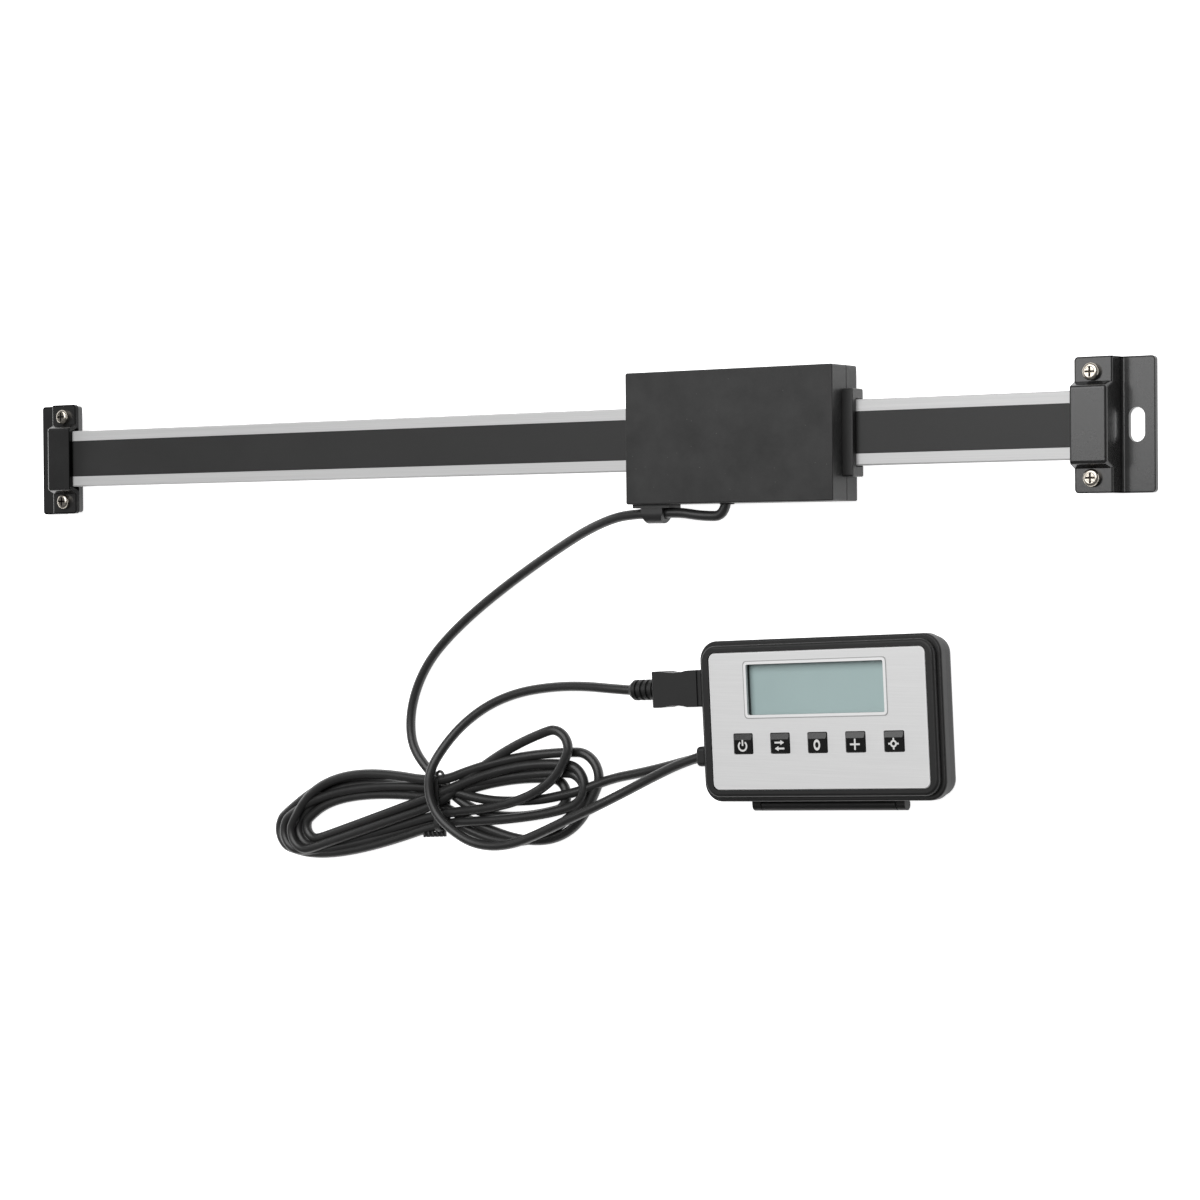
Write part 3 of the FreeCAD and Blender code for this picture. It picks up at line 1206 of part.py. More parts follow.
def readout_pieces():
    """The table readout with its buttons, battery, stand, plug and anchor."""
    pieces = {
        "readout_front": make_readout_front(),
        "readout_rear": make_readout_rear(),
        "face_plate": make_face_plate(),
        "lcd_window": make_lcd_window(),
        "lcd_panel": make_lcd_panel(),
        "lcd_frame": make_lcd_frame(),
        "readout_board": make_readout_board(),
        "button_switches": make_button_switches(),
        "usb_socket": make_usb_socket(),
        "case_screws": make_case_screws(),
        "battery_door": make_battery_door(),
        "coin_cell": make_coin_cell(),
        "battery_contact": make_battery_contact(),
        "stand": make_stand(),
        "hinge_pins": make_hinge_pins(),
        "plug_overmould": make_plug_overmould(),
        "plug_shell": make_plug_shell(),
        "cable_anchor": make_cable_anchor(),
    }
    button = make_button()
    for index, (x, y) in enumerate(button_places()):
        pieces["button_" + str(index + 1)] = moved(button, x, y, 0)
    return {name: on_readout(shape) for name, shape in pieces.items()}


def cable_pieces():
    """The cable's own solids: three free stretches, the hank and its tie."""
    return {
        "cable_lead": tube(lead_points(), "cable_lead"),
        "cable_feed": tube(feed_points(), "cable_feed"),
        "plug_lead": tube(plug_lead_points(), "plug_lead"),
        "cable_hank": make_hank(),
        "cable_tie": make_tie(),
    }


def main():
    """Build every piece and write each to its own file."""
    os.makedirs("parts", exist_ok=True)
    for pieces in (scale_pieces(), reader_pieces(), readout_pieces(), cable_pieces()):
        for name, shape in pieces.items():
            shape.exportStep("parts/" + name + ".step")
            print(name, len(shape.Solids), shape.isValid(), round(shape.Volume, 1))


main()
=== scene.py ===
"""Dress a magnetic linear scale with a remote readout: finishes, cables, tie, symbols and a studio.

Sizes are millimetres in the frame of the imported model, apart from the studio's, the reliefs of finishes
and the lengths of cables, which are metres. Meshes are written in metres.
"""
import logging
import math
from dataclasses import dataclass
from enum import Enum

import bmesh
import bpy
from mathutils import Matrix, Vector


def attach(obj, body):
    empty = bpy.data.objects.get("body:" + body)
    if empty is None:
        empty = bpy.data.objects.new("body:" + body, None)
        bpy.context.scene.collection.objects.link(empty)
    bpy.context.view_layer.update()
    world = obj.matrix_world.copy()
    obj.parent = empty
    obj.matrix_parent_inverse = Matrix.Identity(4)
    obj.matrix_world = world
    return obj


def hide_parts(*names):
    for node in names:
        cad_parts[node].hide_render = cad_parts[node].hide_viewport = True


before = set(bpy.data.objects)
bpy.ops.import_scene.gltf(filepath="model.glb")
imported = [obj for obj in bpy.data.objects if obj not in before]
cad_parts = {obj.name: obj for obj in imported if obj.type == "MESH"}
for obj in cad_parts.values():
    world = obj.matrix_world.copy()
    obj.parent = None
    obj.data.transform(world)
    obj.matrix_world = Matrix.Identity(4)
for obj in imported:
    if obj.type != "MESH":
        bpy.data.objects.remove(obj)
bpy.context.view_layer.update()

LOG = logging.getLogger("linear_scale")
MM = 0.001
WELD = 0.001
HALF_UNIT = 0.5
ARC_PROFILE = 0.5
FACING = 0.9
FULL_TURN = 360.0
TRIANGLE_HEIGHT = 1.5
ORIGIN = (0.0, 0.0, 0.0)
BLACK = (0.0, 0.0, 0.0)
WHITE = (1.0, 1.0, 1.0, 1.0)

Colour = tuple[float, float, float]
Point = tuple[float, float, float]
Flat = tuple[float, float]
Path = tuple[Point, ...]
Socket = bpy.types.NodeSocket
Node = bpy.types.Node
Shape = bmesh.types.BMesh
Vert = bmesh.types.BMVert


class Body(Enum):
    """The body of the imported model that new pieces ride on, apart from the marks on the buttons."""

    READER = "reader_and_readout"


class Strand(Enum):
    """The two strands of a loop in the hank, seen from the front."""

    UPPER = "upper"
    LOWER = "lower"


class Symbol(Enum):
    """Generic marks on the five buttons, left to right."""

    POWER = "power"
    SWAP = "swap"
    ZERO = "zero"
    PLUS = "plus"
    TARGET = "target"


# Shader building

# Places of the colour sockets in Blender's mix node
MIX_FACTOR, MIX_UNDER, MIX_OVER, MIX_RESULT = 0, 6, 7, 2


@dataclass
class Wiring:
    """Adds and links the nodes of one shader tree."""

    tree: bpy.types.NodeTree

    def put(self, target: Socket, value: object) -> None:
        """Feed one input.

        Args:
            target: The input.
            value: An output to link, or a value to set.
        """
        if isinstance(value, Socket):
            self.tree.links.new(value, target)
        else:
            target.default_value = value

    def feed(self, node: Node, *operands: object, **values: object) -> Node:
        """Feed a node.

        Args:
            node: The node.
            operands: What its inputs get, in their order.
            values: Its attributes, and its inputs by name with spaces as underscores.

        Returns:
            The node.
        """
        for key, value in values.items():
            if key in node.bl_rna.properties:
                setattr(node, key, value)
            else:
                self.put(node.inputs[key.replace("_", " ")], value)
        for target, operand in zip(node.inputs, operands):
            self.put(target, operand)
        return node

    def add(self, kind: str, *operands: object, **values: object) -> Node:
        """Add a node of one of Blender's types, and feed it."""
        return self.feed(self.tree.nodes.new(kind), *operands, **values)

    def given(self, name: str) -> Socket:
        """An input of the group that this tree belongs to."""
        return self.tree.nodes["given"].outputs[name]

    def give(self, **outputs: Socket) -> None:
        """Feed the outputs of the group that this tree belongs to."""
        self.feed(self.tree.nodes["result"], **outputs)

    def shader(self, **values: object) -> None:
        """Feed the shader of the material that this tree belongs to."""
        self.feed(self.tree.nodes["Principled BSDF"], **values)

    def coordinates(self) -> Socket:
        """Object coordinates, which are the frame's own."""
        return self.add("ShaderNodeTexCoord").outputs["Object"]

    def compose(self, x: Socket, y: Socket, z: Socket | float = 0.0) -> Socket:
        """A vector from its parts."""
        return self.add("ShaderNodeCombineXYZ", x, y, z).outputs["Vector"]

    def split(self, vector: Socket) -> list[Socket]:
        """The three parts of a vector."""
        return self.add("ShaderNodeSeparateXYZ", vector).outputs[:]

    def length(self, vector: Socket) -> Socket:
        """The length of a vector."""
        return self.add("ShaderNodeVectorMath", vector, operation="LENGTH").outputs["Value"]

    def spread(self, mask: Socket, low: float, high: float) -> Socket:
        """Stretch a mask from 0 to 1 over a range."""
        return self.add("ShaderNodeMapRange", Value=mask, To_Min=low, To_Max=high).outputs["Result"]

    def fade(self, value: Socket, limit: Socket) -> Socket:
        """A mask that falls from 1 at zero to 0 at a limit."""
        node = self.add("ShaderNodeMapRange", Value=value, From_Max=limit, To_Min=1.0, To_Max=0.0)
        return node.outputs["Result"]

    def bump(self, height: Socket, relief: float) -> Socket:
        """A normal from a height between 0 and 1 and the depth of its relief."""
        return self.add("ShaderNodeBump", Strength=1.0, Distance=relief, Height=height).outputs["Normal"]

    def math(self, operation: str, *numbers: Socket | float) -> Socket:
        """Work with one or two numbers."""
        return self.add("ShaderNodeMath", *numbers, operation=operation).outputs["Value"]

    def vector(self, operation: str, *vectors: Socket) -> Socket:
        """Work with one or two vectors, where a second one that is left out is zero."""
        return self.add("ShaderNodeVectorMath", *vectors, operation=operation).outputs["Vector"]

    def blend(self, mask: Socket, first: Colour, second: Colour) -> Socket:
        """Mix two colours by a mask.

        Args:
            mask: Mask from 0 to 1.
            first: Colour where the mask is 0.
            second: Colour where the mask is 1.

        Returns:
            The mixed colour.
        """
        ramp = self.add("ShaderNodeValToRGB", Fac=mask)
        ramp.color_ramp.elements[0].color = (*first, 1.0)
        ramp.color_ramp.elements[1].color = (*second, 1.0)
        return ramp.outputs["Color"]

    def tint(self, mask: Socket, colour: Colour) -> None:
        """Lay a colour over what already feeds the shader's base colour.

        Args:
            mask: 1 where the colour covers what is below, 0 where it leaves it.
            colour: The colour.
        """
        base = self.tree.nodes["Principled BSDF"].inputs["Base Color"]
        mix = self.add("ShaderNodeMix", data_type="RGBA")
        self.put(mix.inputs[MIX_FACTOR], mask)
        self.put(mix.inputs[MIX_UNDER], base.links[0].from_socket)
        self.put(mix.inputs[MIX_OVER], (*colour, 1.0))
        self.put(base, mix.outputs[MIX_RESULT])

    def swallow(self, mask: Socket) -> None:
        """Let the places of a mask reflect nothing, for dark joints and painted shade: a black metal has no
        gloss.
        """
        self.tint(mask, BLACK)
        self.shader(Metallic=mask)


class Effect:
    """A surface effect as a node group that is built once and placed in many materials."""

    name = ""
    inputs: tuple[str, ...] = ()
    outputs: tuple[str, ...] = ()

    def wire(self, wiring: Wiring) -> None:
        """Fill the group, which each effect does in its own way."""
        raise NotImplementedError

    def tree(self) -> bpy.types.NodeTree:
        """Build the node group on first use.

        Returns:
            The node group.
        """
        made = bpy.data.node_groups.get(self.name)
        if made is None:
            made = bpy.data.node_groups.new(self.name, "ShaderNodeTree")
            for way, names in (("INPUT", self.inputs), ("OUTPUT", self.outputs)):
                for name in names:
                    made.interface.new_socket(name=name, in_out=way, socket_type="NodeSocketFloat")
            wiring = Wiring(made)
            wiring.add("NodeGroupInput", name="given")
            wiring.add("NodeGroupOutput", name="result")
            self.wire(wiring)
        return made

    def place(self, wiring: Wiring, **values: float) -> Node:
        """Put the group in a material, with values for its inputs."""
        return wiring.add("ShaderNodeGroup", node_tree=self.tree(), **values)


class MouldGrain(Effect):
    """Fine spark-eroded grain, with slow clouds of shine over it."""

    name = "mould_grain"
    inputs = ("Grain", "Cloud")
    outputs = ("Height", "Clouds")

    def wire(self, wiring: Wiring) -> None:
        """Noise at two scales on object coordinates.

        Args:
            wiring: The group's wiring.
        """
        place = wiring.coordinates()
        for scale, detail, output in (("Grain", 2.0, "Height"), ("Cloud", 4.0, "Clouds")):
            noise = wiring.add("ShaderNodeTexNoise", Vector=place, Scale=wiring.given(scale), Detail=detail,
                               Roughness=0.6)
            wiring.give(**{output: noise.outputs["Fac"]})


class DrawnLines(Effect):
    """Lines left by drawing or brushing along X."""

    name = "drawn_lines"
    inputs = ("Along", "Across")
    outputs = ("Lines",)

    def wire(self, wiring: Wiring) -> None:
        """Noise on object coordinates that are stretched along X.

        Args:
            wiring: The group's wiring.
        """
        across = wiring.given("Across")
        pace = wiring.compose(wiring.given("Along"), across, across)
        stretched = wiring.vector("MULTIPLY", wiring.coordinates(), pace)
        noise = wiring.add("ShaderNodeTexNoise", Vector=stretched, Scale=1.0, Detail=3.0, Roughness=0.65)
        wiring.give(Lines=noise.outputs["Fac"])


class DustSpecks(Effect):
    """Sparse pale specks of dust."""

    name = "dust_specks"
    inputs = ("Spacing", "Size")
    outputs = ("Specks",)

    def wire(self, wiring: Wiring) -> None:
        """Small dots round scattered points.

        Args:
            wiring: The group's wiring.
        """
        cells = wiring.add("ShaderNodeTexVoronoi", Vector=wiring.coordinates(),
                           Scale=wiring.given("Spacing"))
        wiring.give(Specks=wiring.fade(cells.outputs["Distance"], wiring.given("Size")))


class PartingLine(Effect):
    """Dark line at one height, where two shells meet."""

    name = "parting_line"
    inputs = ("Level", "Half")
    outputs = ("Line",)

    def wire(self, wiring: Wiring) -> None:
        """Fade with the distance from the height.

        Args:
            wiring: The group's wiring.
        """
        height = wiring.split(wiring.coordinates())[2]
        away = wiring.math("ABSOLUTE", wiring.math("SUBTRACT", height, wiring.given("Level")))
        wiring.give(Line=wiring.fade(away, wiring.given("Half")))


class PlateRim(Effect):
    """Narrow rim along the edge of a plate with round corners that lies turned on the table."""

    name = "plate_rim"
    inputs = ("Centre X", "Centre Y", "Turn", "Inner X", "Inner Y", "Corner", "Start")
    outputs = ("Rim",)

    def wire(self, wiring: Wiring) -> None:
        """Distance to the outline, in the plate's own axes.

        Args:
            wiring: The group's wiring.
        """
        centre = wiring.compose(wiring.given("Centre X"), wiring.given("Centre Y"))
        inner = wiring.compose(wiring.given("Inner X"), wiring.given("Inner Y"), 1.0)
        turned = wiring.add("ShaderNodeVectorRotate", rotation_type="Z_AXIS", Vector=wiring.coordinates(),
                            Center=centre, Angle=wiring.given("Turn")).outputs["Vector"]
        local = wiring.vector("ABSOLUTE", wiring.vector("SUBTRACT", turned, centre))
        beyond = wiring.vector("SUBTRACT", local, inner)
        outside = wiring.length(wiring.vector("MAXIMUM", beyond))
        beyond_x, beyond_y, _ = wiring.split(beyond)
        nearest = wiring.math("MINIMUM", wiring.math("MAXIMUM", beyond_x, beyond_y), 0.0)
        distance = wiring.math("SUBTRACT", wiring.math("ADD", outside, nearest), wiring.given("Corner"))
        rise = wiring.add("ShaderNodeMapRange", Value=distance, From_Min=wiring.given("Start"), From_Max=0.0,
                          To_Max=2.0)
        full = wiring.add("ShaderNodeClamp", Value=rise.outputs["Result"])
        wiring.give(Rim=full.outputs["Result"])


class Recess(Effect):
    """The recesses of four screws that stand in the corners of a rectangle round X = 0, where shade is
    painted.
    """

    name = "recess"
    inputs = ("Column", "Middle", "Row", "Level", "Radius")
    outputs = ("Inside",)

    def wire(self, wiring: Wiring) -> None:
        """Near a screw's axis and below its top.

        Args:
            wiring: The group's wiring.
        """
        x, y, z = wiring.split(wiring.coordinates())
        aside = wiring.math("SUBTRACT", wiring.math("ABSOLUTE", x), wiring.given("Column"))
        above = wiring.math("ABSOLUTE", wiring.math("SUBTRACT", y, wiring.given("Middle")))
        away = wiring.compose(aside, wiring.math("SUBTRACT", above, wiring.given("Row")))
        near = wiring.math("LESS_THAN", wiring.length(away), wiring.given("Radius"))
        deep = wiring.math("LESS_THAN", z, wiring.given("Level"))
        wiring.give(Inside=wiring.math("MULTIPLY", near, deep))


GRAIN = MouldGrain()
LINES = DrawnLines()
DUST = DustSpecks()
SEAM = PartingLine()
RIM = PlateRim()
RECESS = Recess()


def grey(level: float) -> Colour:
    """A neutral shade."""
    return (level, level, level)


@dataclass(frozen=True)
class Finish:
    """What every finish has: a name, two shades and a range of roughness."""

    name: str
    dark: Colour
    light: Colour
    rough_low: float
    rough_high: float

    def material(self) -> bpy.types.Material:
        """Build the material on first use.

        Returns:
            The material.
        """
        made = bpy.data.materials.get(self.name + "_finish")
        if made is None:
            made = bpy.data.materials.new(self.name + "_finish")
            made.use_nodes = True
            self.wire(Wiring(made.node_tree))
        return made

    def wire(self, wiring: Wiring) -> None:
        """Feed the shader, which each finish does in its own way."""
        raise NotImplementedError

    def shade(self, wiring: Wiring, mask: Socket) -> None:
        """Let one mask drive colour and roughness."""
        wiring.shader(Base_Color=wiring.blend(mask, self.dark, self.light),
                      Roughness=wiring.spread(mask, self.rough_low, self.rough_high))


@dataclass(frozen=True)
class Moulded(Finish):
    """Moulded plastic or rubber: grain, clouds of shine, a little dust and the line where shells meet."""

    grain: float = 2600.0
    cloud: float = 60.0
    relief: float = 0.00002
    specular: float = 0.5
    coat: float = 0.0
    dust: float = 0.0
    seam: float = 0.0
    seam_half: float = 0.34
    coat_rough: float = 0.12
    dust_spacing: float = 420.0
    dust_size: float = 0.05
    dust_colour: Colour = (0.55, 0.55, 0.53)

    def wire(self, wiring: Wiring) -> None:
        """Clouds drive the shade, grain the normal, dust lightens specks and the seam swallows light.

        Args:
            wiring: The material's wiring.
        """
        wiring.shader(Specular_IOR_Level=self.specular, Coat_Weight=self.coat,
                      Coat_Roughness=self.coat_rough)
        grain = GRAIN.place(wiring, Grain=self.grain, Cloud=self.cloud)
        self.shade(wiring, grain.outputs["Clouds"])
        if self.dust > 0:
            specks = DUST.place(wiring, Spacing=self.dust_spacing, Size=self.dust_size).outputs["Specks"]
            wiring.tint(wiring.spread(specks, 0.0, self.dust), self.dust_colour)
        if self.seam > 0:
            line = SEAM.place(wiring, Level=self.seam * MM, Half=self.seam_half * MM)
            wiring.swallow(line.outputs["Line"])
        wiring.shader(Normal=wiring.bump(grain.outputs["Height"], self.relief))


@dataclass(frozen=True)
class DrawnMetal(Finish):
    """Bare or plated metal with lines along X."""

    along: float = 14.0
    across: float = 5200.0
    relief: float = 0.000004
    metallic: float = 1.0

    def wire(self, wiring: Wiring) -> None:
        """Lines drive the shade and the normal.

        Args:
            wiring: The material's wiring.
        """
        lines = LINES.place(wiring, Along=self.along, Across=self.across).outputs["Lines"]
        self.shade(wiring, lines)
        wiring.shader(Metallic=self.metallic, Normal=wiring.bump(lines, self.relief))


@dataclass(frozen=True)
class Outline:
    """Plan of a flat piece, for a rim along its edge."""

    centre: Flat
    size: Flat
    corner: float
    rim: float
    turn: float = 0.0

    def mask(self, wiring: Wiring) -> Socket:
        """Find the rim.

        Args:
            wiring: The material's wiring.

        Returns:
            The rim's mask: 1 at the edge, 0 inside the rim.
        """
        inner_x, inner_y = (side / 2 - self.corner for side in self.size)
        node = RIM.place(wiring, Centre_X=self.centre[0] * MM, Centre_Y=self.centre[1] * MM,
                         Turn=-math.radians(self.turn), Inner_X=inner_x * MM, Inner_Y=inner_y * MM,
                         Corner=self.corner * MM, Start=-self.rim * MM)
        return node.outputs["Rim"]


@dataclass(frozen=True)
class RimmedPlate(DrawnMetal):
    """Brushed plate with a painted highlight along its cut rim."""

    outline: Outline = Outline((112.8, -39.05), (75.9, 42.5), 2.2, 0.45, 2.44)
    rim_highlight: Colour = grey(0.95)

    def wire(self, wiring: Wiring) -> None:
        """Paint a highlight on the rim of the brushed plate."""
        super().wire(wiring)
        # Painted highlight: near-white colour laid over the plate's rim
        wiring.tint(self.outline.mask(wiring), self.rim_highlight)


@dataclass(frozen=True)
class EdgedPaint(Moulded):
    """Paint on pressed sheet, with painted shade as a dark line along the sheet's cut edge."""

    outline: Outline = Outline((208.2, 47.8), (22.4, 39.4), 1.2, 0.55)

    def wire(self, wiring: Wiring) -> None:
        """Paint shade as a dark line along the edge of the sheet."""
        super().wire(wiring)
        # Painted shade: the rim mask turns the paint black and glossless along the edge
        wiring.swallow(self.outline.mask(wiring))


@dataclass(frozen=True)
class ScrewMetal(DrawnMetal):
    """Plated screws whose cross recesses are darkened with painted shade."""

    column: float = 202.6
    middle: float = 47.8
    row: float = 15.3
    level: float = 9.64
    radius: float = 1.62
    recess_shade: Colour = (0.03, 0.025, 0.02)

    def wire(self, wiring: Wiring) -> None:
        """Paint shade into the recesses of the plated screws.

        Args:
            wiring: The material's wiring.
        """
        super().wire(wiring)
        node = RECESS.place(wiring, Column=self.column * MM, Middle=self.middle * MM, Row=self.row * MM,
                            Level=self.level * MM, Radius=self.radius * MM)
        # Painted shade: a near-black colour laid in the cross recesses
        wiring.tint(node.outputs["Inside"], self.recess_shade)


@dataclass(frozen=True)
class ClearSheet(Finish):
    """Thin clear plastic sheet, faintly smeared."""

    cloud: float = 45.0
    opacity: float = 0.1

    def wire(self, wiring: Wiring) -> None:
        """Clouds drive the shine, and the sheet lets most light through."""
        wiring.shader(Alpha=self.opacity)
        self.shade(wiring, GRAIN.place(wiring, Cloud=self.cloud).outputs["Clouds"])


@dataclass(frozen=True)
class DisplayFilm(Finish):
    """Reflective display behind its polariser: a slow change of tone and faint rubbing lines."""

    cloud: float = 22.0
    along: float = 30.0
    across: float = 9000.0
    relief: float = 0.000001

    def wire(self, wiring: Wiring) -> None:
        """Clouds drive the tone and fine lines the normal.

        Args:
            wiring: The material's wiring.
        """
        self.shade(wiring, GRAIN.place(wiring, Cloud=self.cloud).outputs["Clouds"])
        lines = LINES.place(wiring, Along=self.along, Across=self.across).outputs["Lines"]
        wiring.shader(Normal=wiring.bump(lines, self.relief))


@dataclass(frozen=True)
class Laminate(Finish):
    """Circuit board with tracks under its mask."""

    scale: float = 160.0
    track: float = 0.06
    relief: float = 0.00003

    def wire(self, wiring: Wiring) -> None:
        """Brick joints stand for tracks.

        Args:
            wiring: The material's wiring.
        """
        bricks = wiring.add("ShaderNodeTexBrick", Vector=wiring.coordinates(), Scale=self.scale,
                            Mortar_Size=self.track)
        tracks = bricks.outputs["Fac"]
        self.shade(wiring, tracks)
        wiring.shader(Normal=wiring.bump(tracks, self.relief))


# Shades, roughness, grain, clouds, relief, gloss and coat of the paint on all pressed sheet
PAINTED = (grey(0.010), grey(0.022), 0.20, 0.28, 900.0, 70.0, 0.000012, 0.42, 0.3)


class Palette(Enum):
    """Every finish of the object and its floor."""

    BEAM = DrawnMetal("beam_aluminium", grey(0.46), grey(0.64), 0.42, 0.56, metallic=0.4)
    TAPE = Moulded("tape", grey(0.010), grey(0.016), 0.40, 0.52, 5200.0, 40.0, 0.000012, 0.42)
    PAINT_LEFT = EdgedPaint("left_bracket_paint", *PAINTED,
                            outline=Outline((-208.2, 47.8), (22.4, 39.4), 1.2, 0.55))
    PAINT_RIGHT = EdgedPaint("right_bracket_paint", *PAINTED)
    PAINT = Moulded("clamp_paint", *PAINTED)
    NICKEL = ScrewMetal("nickel", (0.30, 0.27, 0.23), (0.60, 0.56, 0.50), 0.16, 0.28, 700.0, 1100.0,
                        0.00004)
    READER = Moulded("reader_plastic", BLACK, grey(0.048), 0.32, 0.52, 3400.0, 60.0, 0.000022, 0.28,
                     dust=0.4, seam=9.1)
    WIPER = Moulded("wiper_plastic", grey(0.010), grey(0.018), 0.36, 0.50)
    STRIP = Moulded("slide_strip", (0.55, 0.54, 0.50), (0.66, 0.65, 0.61), 0.35, 0.5)
    BOARD = Laminate("board", (0.010, 0.075, 0.030), (0.035, 0.16, 0.06), 0.30, 0.42)
    CHIP = Moulded("chip", (0.014, 0.014, 0.015), (0.024, 0.024, 0.025), 0.45, 0.6)
    BRASS = DrawnMetal("insert_brass", (0.58, 0.42, 0.18), (0.76, 0.58, 0.28), 0.22, 0.36, 900.0, 1500.0)
    RUBBER = Moulded("black_rubber", grey(0.007), grey(0.012), 0.46, 0.60, 1800.0, specular=0.38)
    CLIP = Moulded("clip_plastic", grey(0.012), grey(0.018), 0.36, 0.48)
    JACKET = Moulded("cable_jacket", grey(0.014), grey(0.024), 0.32, 0.42, 1600.0, 130.0, 0.000012)
    CASE = Moulded("readout_plastic", grey(0.006), grey(0.010), 0.40, 0.52, 3000.0, 55.0, 0.000022, 0.36,
                   seam=6.5)
    PLATE = RimmedPlate("plate_silver", grey(0.63), grey(0.74), 0.42, 0.52, 40.0, 2600.0, 0.000003, 0.25)
    # Lighter and darker copies of the plate metal: painted highlight on the display's rim, painted shade on
    # its outer line
    RIM_HIGHLIGHT = DrawnMetal("display_rim_highlight", grey(0.76), grey(0.84), 0.34, 0.44, 60.0, 2600.0, 0.000002, 0.2)
    LINE = DrawnMetal("display_rim_shadow", grey(0.32), grey(0.38), 0.40, 0.50, 60.0, 2600.0, 0.000002, 0.2)
    CLEAR = ClearSheet("clear", grey(0.02), grey(0.04), 0.06, 0.14)
    LCD = DisplayFilm("lcd", (0.51, 0.665, 0.66), (0.57, 0.735, 0.73), 0.30, 0.40)
    BUTTON = Moulded("button_black", grey(0.004), grey(0.007), 0.12, 0.18, 1500.0, 90.0, 0.000003, 0.45)
    INK = Moulded("symbol_ink", (0.62, 0.62, 0.61), (0.78, 0.78, 0.77), 0.45, 0.60, 2400.0, 160.0, 0.000006)
    STEEL = DrawnMetal("steel", (0.52, 0.52, 0.53), (0.70, 0.70, 0.71), 0.24, 0.38, 500.0, 1300.0)
    TIE = Moulded("tie_plastic", grey(0.010), grey(0.018), 0.38, 0.52, 2200.0)
    FLOOR = Moulded("pale_floor", grey(0.90), grey(0.93), 0.75, 0.85, 300.0, 3.0, 0.00001, 0.1)

    def material(self) -> bpy.types.Material:
        """Return the finish's material."""
        return self.value.material()


# Helpers for pieces


def metres(points: list[Point] | Path) -> list[Vector]:
    """Turn millimetre points into metres."""
    return [Vector(point) * MM for point in points]


def dress(finish: Palette, *nodes: str) -> None:
    """Give carried-over nodes a finish.

    Args:
        finish: The finish.
        nodes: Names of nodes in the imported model.
    """
    for name in nodes:
        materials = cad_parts[name].data.materials
        materials.clear()
        materials.append(finish.material())
        LOG.info("dressed %s in %s", name, finish.value.name)


def joined(*shapes: Shape) -> Shape:
    """Put several shapes in one.

    Args:
        shapes: The shapes, which are freed.

    Returns:
        One shape that holds them all.
    """
    whole = bmesh.new()
    carrier = bpy.data.meshes.new("carrier")
    for shape in shapes:
        shape.to_mesh(carrier)
        whole.from_mesh(carrier)
        shape.free()
    bpy.data.meshes.remove(carrier)
    return whole


def move(shape: Shape, place: Point, verts: list[Vert] | None = None) -> None:
    """Move a shape, or only some of its corners."""
    bmesh.ops.translate(shape, vec=place, verts=verts or shape.verts)


def rotate(shape: Shape, degrees: float, verts: list[Vert] | None = None, axis: str = "Z") -> None:
    """Turn a shape, or only some of its corners, about an axis of the frame."""
    turn = Matrix.Rotation(math.radians(degrees), 3, axis)
    bmesh.ops.rotate(shape, cent=ORIGIN, matrix=turn, verts=verts or shape.verts)


def bar(shape: Shape, wide: float, tall: float, x: float = 0.0, y: float = 0.0) -> list[Vert]:
    """Add a flat bar to a shape.

    Args:
        shape: The shape.
        wide: The bar's width.
        tall: Its height.
        x: Its middle.
        y: Its middle.

    Returns:
        The bar's corners.
    """
    made = bmesh.ops.create_grid(shape, x_segments=1, y_segments=1, size=HALF_UNIT)["verts"]
    bmesh.ops.scale(shape, vec=(wide, tall, 1.0), verts=made)
    move(shape, (x, y, 0), made)
    return made


def new_object(name: str, data: bpy.types.ID) -> bpy.types.Object:
    """Put an object in the scene.

    Args:
        name: The object's name.
        data: Its mesh, curve, light or camera.

    Returns:
        The new object.
    """
    made = bpy.data.objects.new(name, data)
    bpy.context.scene.collection.objects.link(made)
    return made


def new_piece(name: str, shape: Shape, finish: Palette, body: str) -> bpy.types.Object:
    """Make an object from a shape in millimetres, at its place.

    Args:
        name: The piece's name.
        shape: Its mesh, which is freed.
        finish: Its finish.
        body: The body that it rides on.

    Returns:
        The new object.
    """
    bmesh.ops.remove_doubles(shape, verts=shape.verts, dist=WELD)
    bmesh.ops.recalc_face_normals(shape, faces=shape.faces)
    bmesh.ops.scale(shape, vec=(MM, MM, MM), verts=shape.verts)
    mesh = bpy.data.meshes.new(name)
    shape.to_mesh(mesh)
    shape.free()
    mesh.materials.append(finish.material())
    piece = new_object(name, mesh)
    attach(piece, body)
    LOG.info("built %s: %d faces", name, len(mesh.polygons))
    return piece


# The cables

CABLE_STEPS = 8
CABLE_SIDES = 6
STRAND_STEPS = 4
FOLD_STEPS = 5


def new_cable(name: str, points: list[Vector], radius: float) -> bpy.types.Object:
    """Make a round cable along one open smooth spline.

    Args:
        name: The piece's name.
        points: Control points in metres.
        radius: The cable's radius in millimetres.

    Returns:
        The new curve object, on the reader's body.
    """
    curve = bpy.data.curves.new(name, "CURVE")
    curve.dimensions = "3D"
    spline = curve.splines.new("NURBS")
    spline.points.add(len(points) - 1)
    for control, point in zip(spline.points, points):
        control.co = (*point, 1.0)
    spline.order_u = 3
    spline.use_endpoint_u = True
    spline.resolution_u = CABLE_STEPS
    curve.bevel_depth = radius * MM
    curve.bevel_resolution = CABLE_SIDES
    curve.use_fill_caps = True
    curve.materials.append(Palette.JACKET.material())
    piece = new_object(name, curve)
    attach(piece, Body.READER.value)
    LOG.info("laid %s along %d points", name, len(points))
    return piece


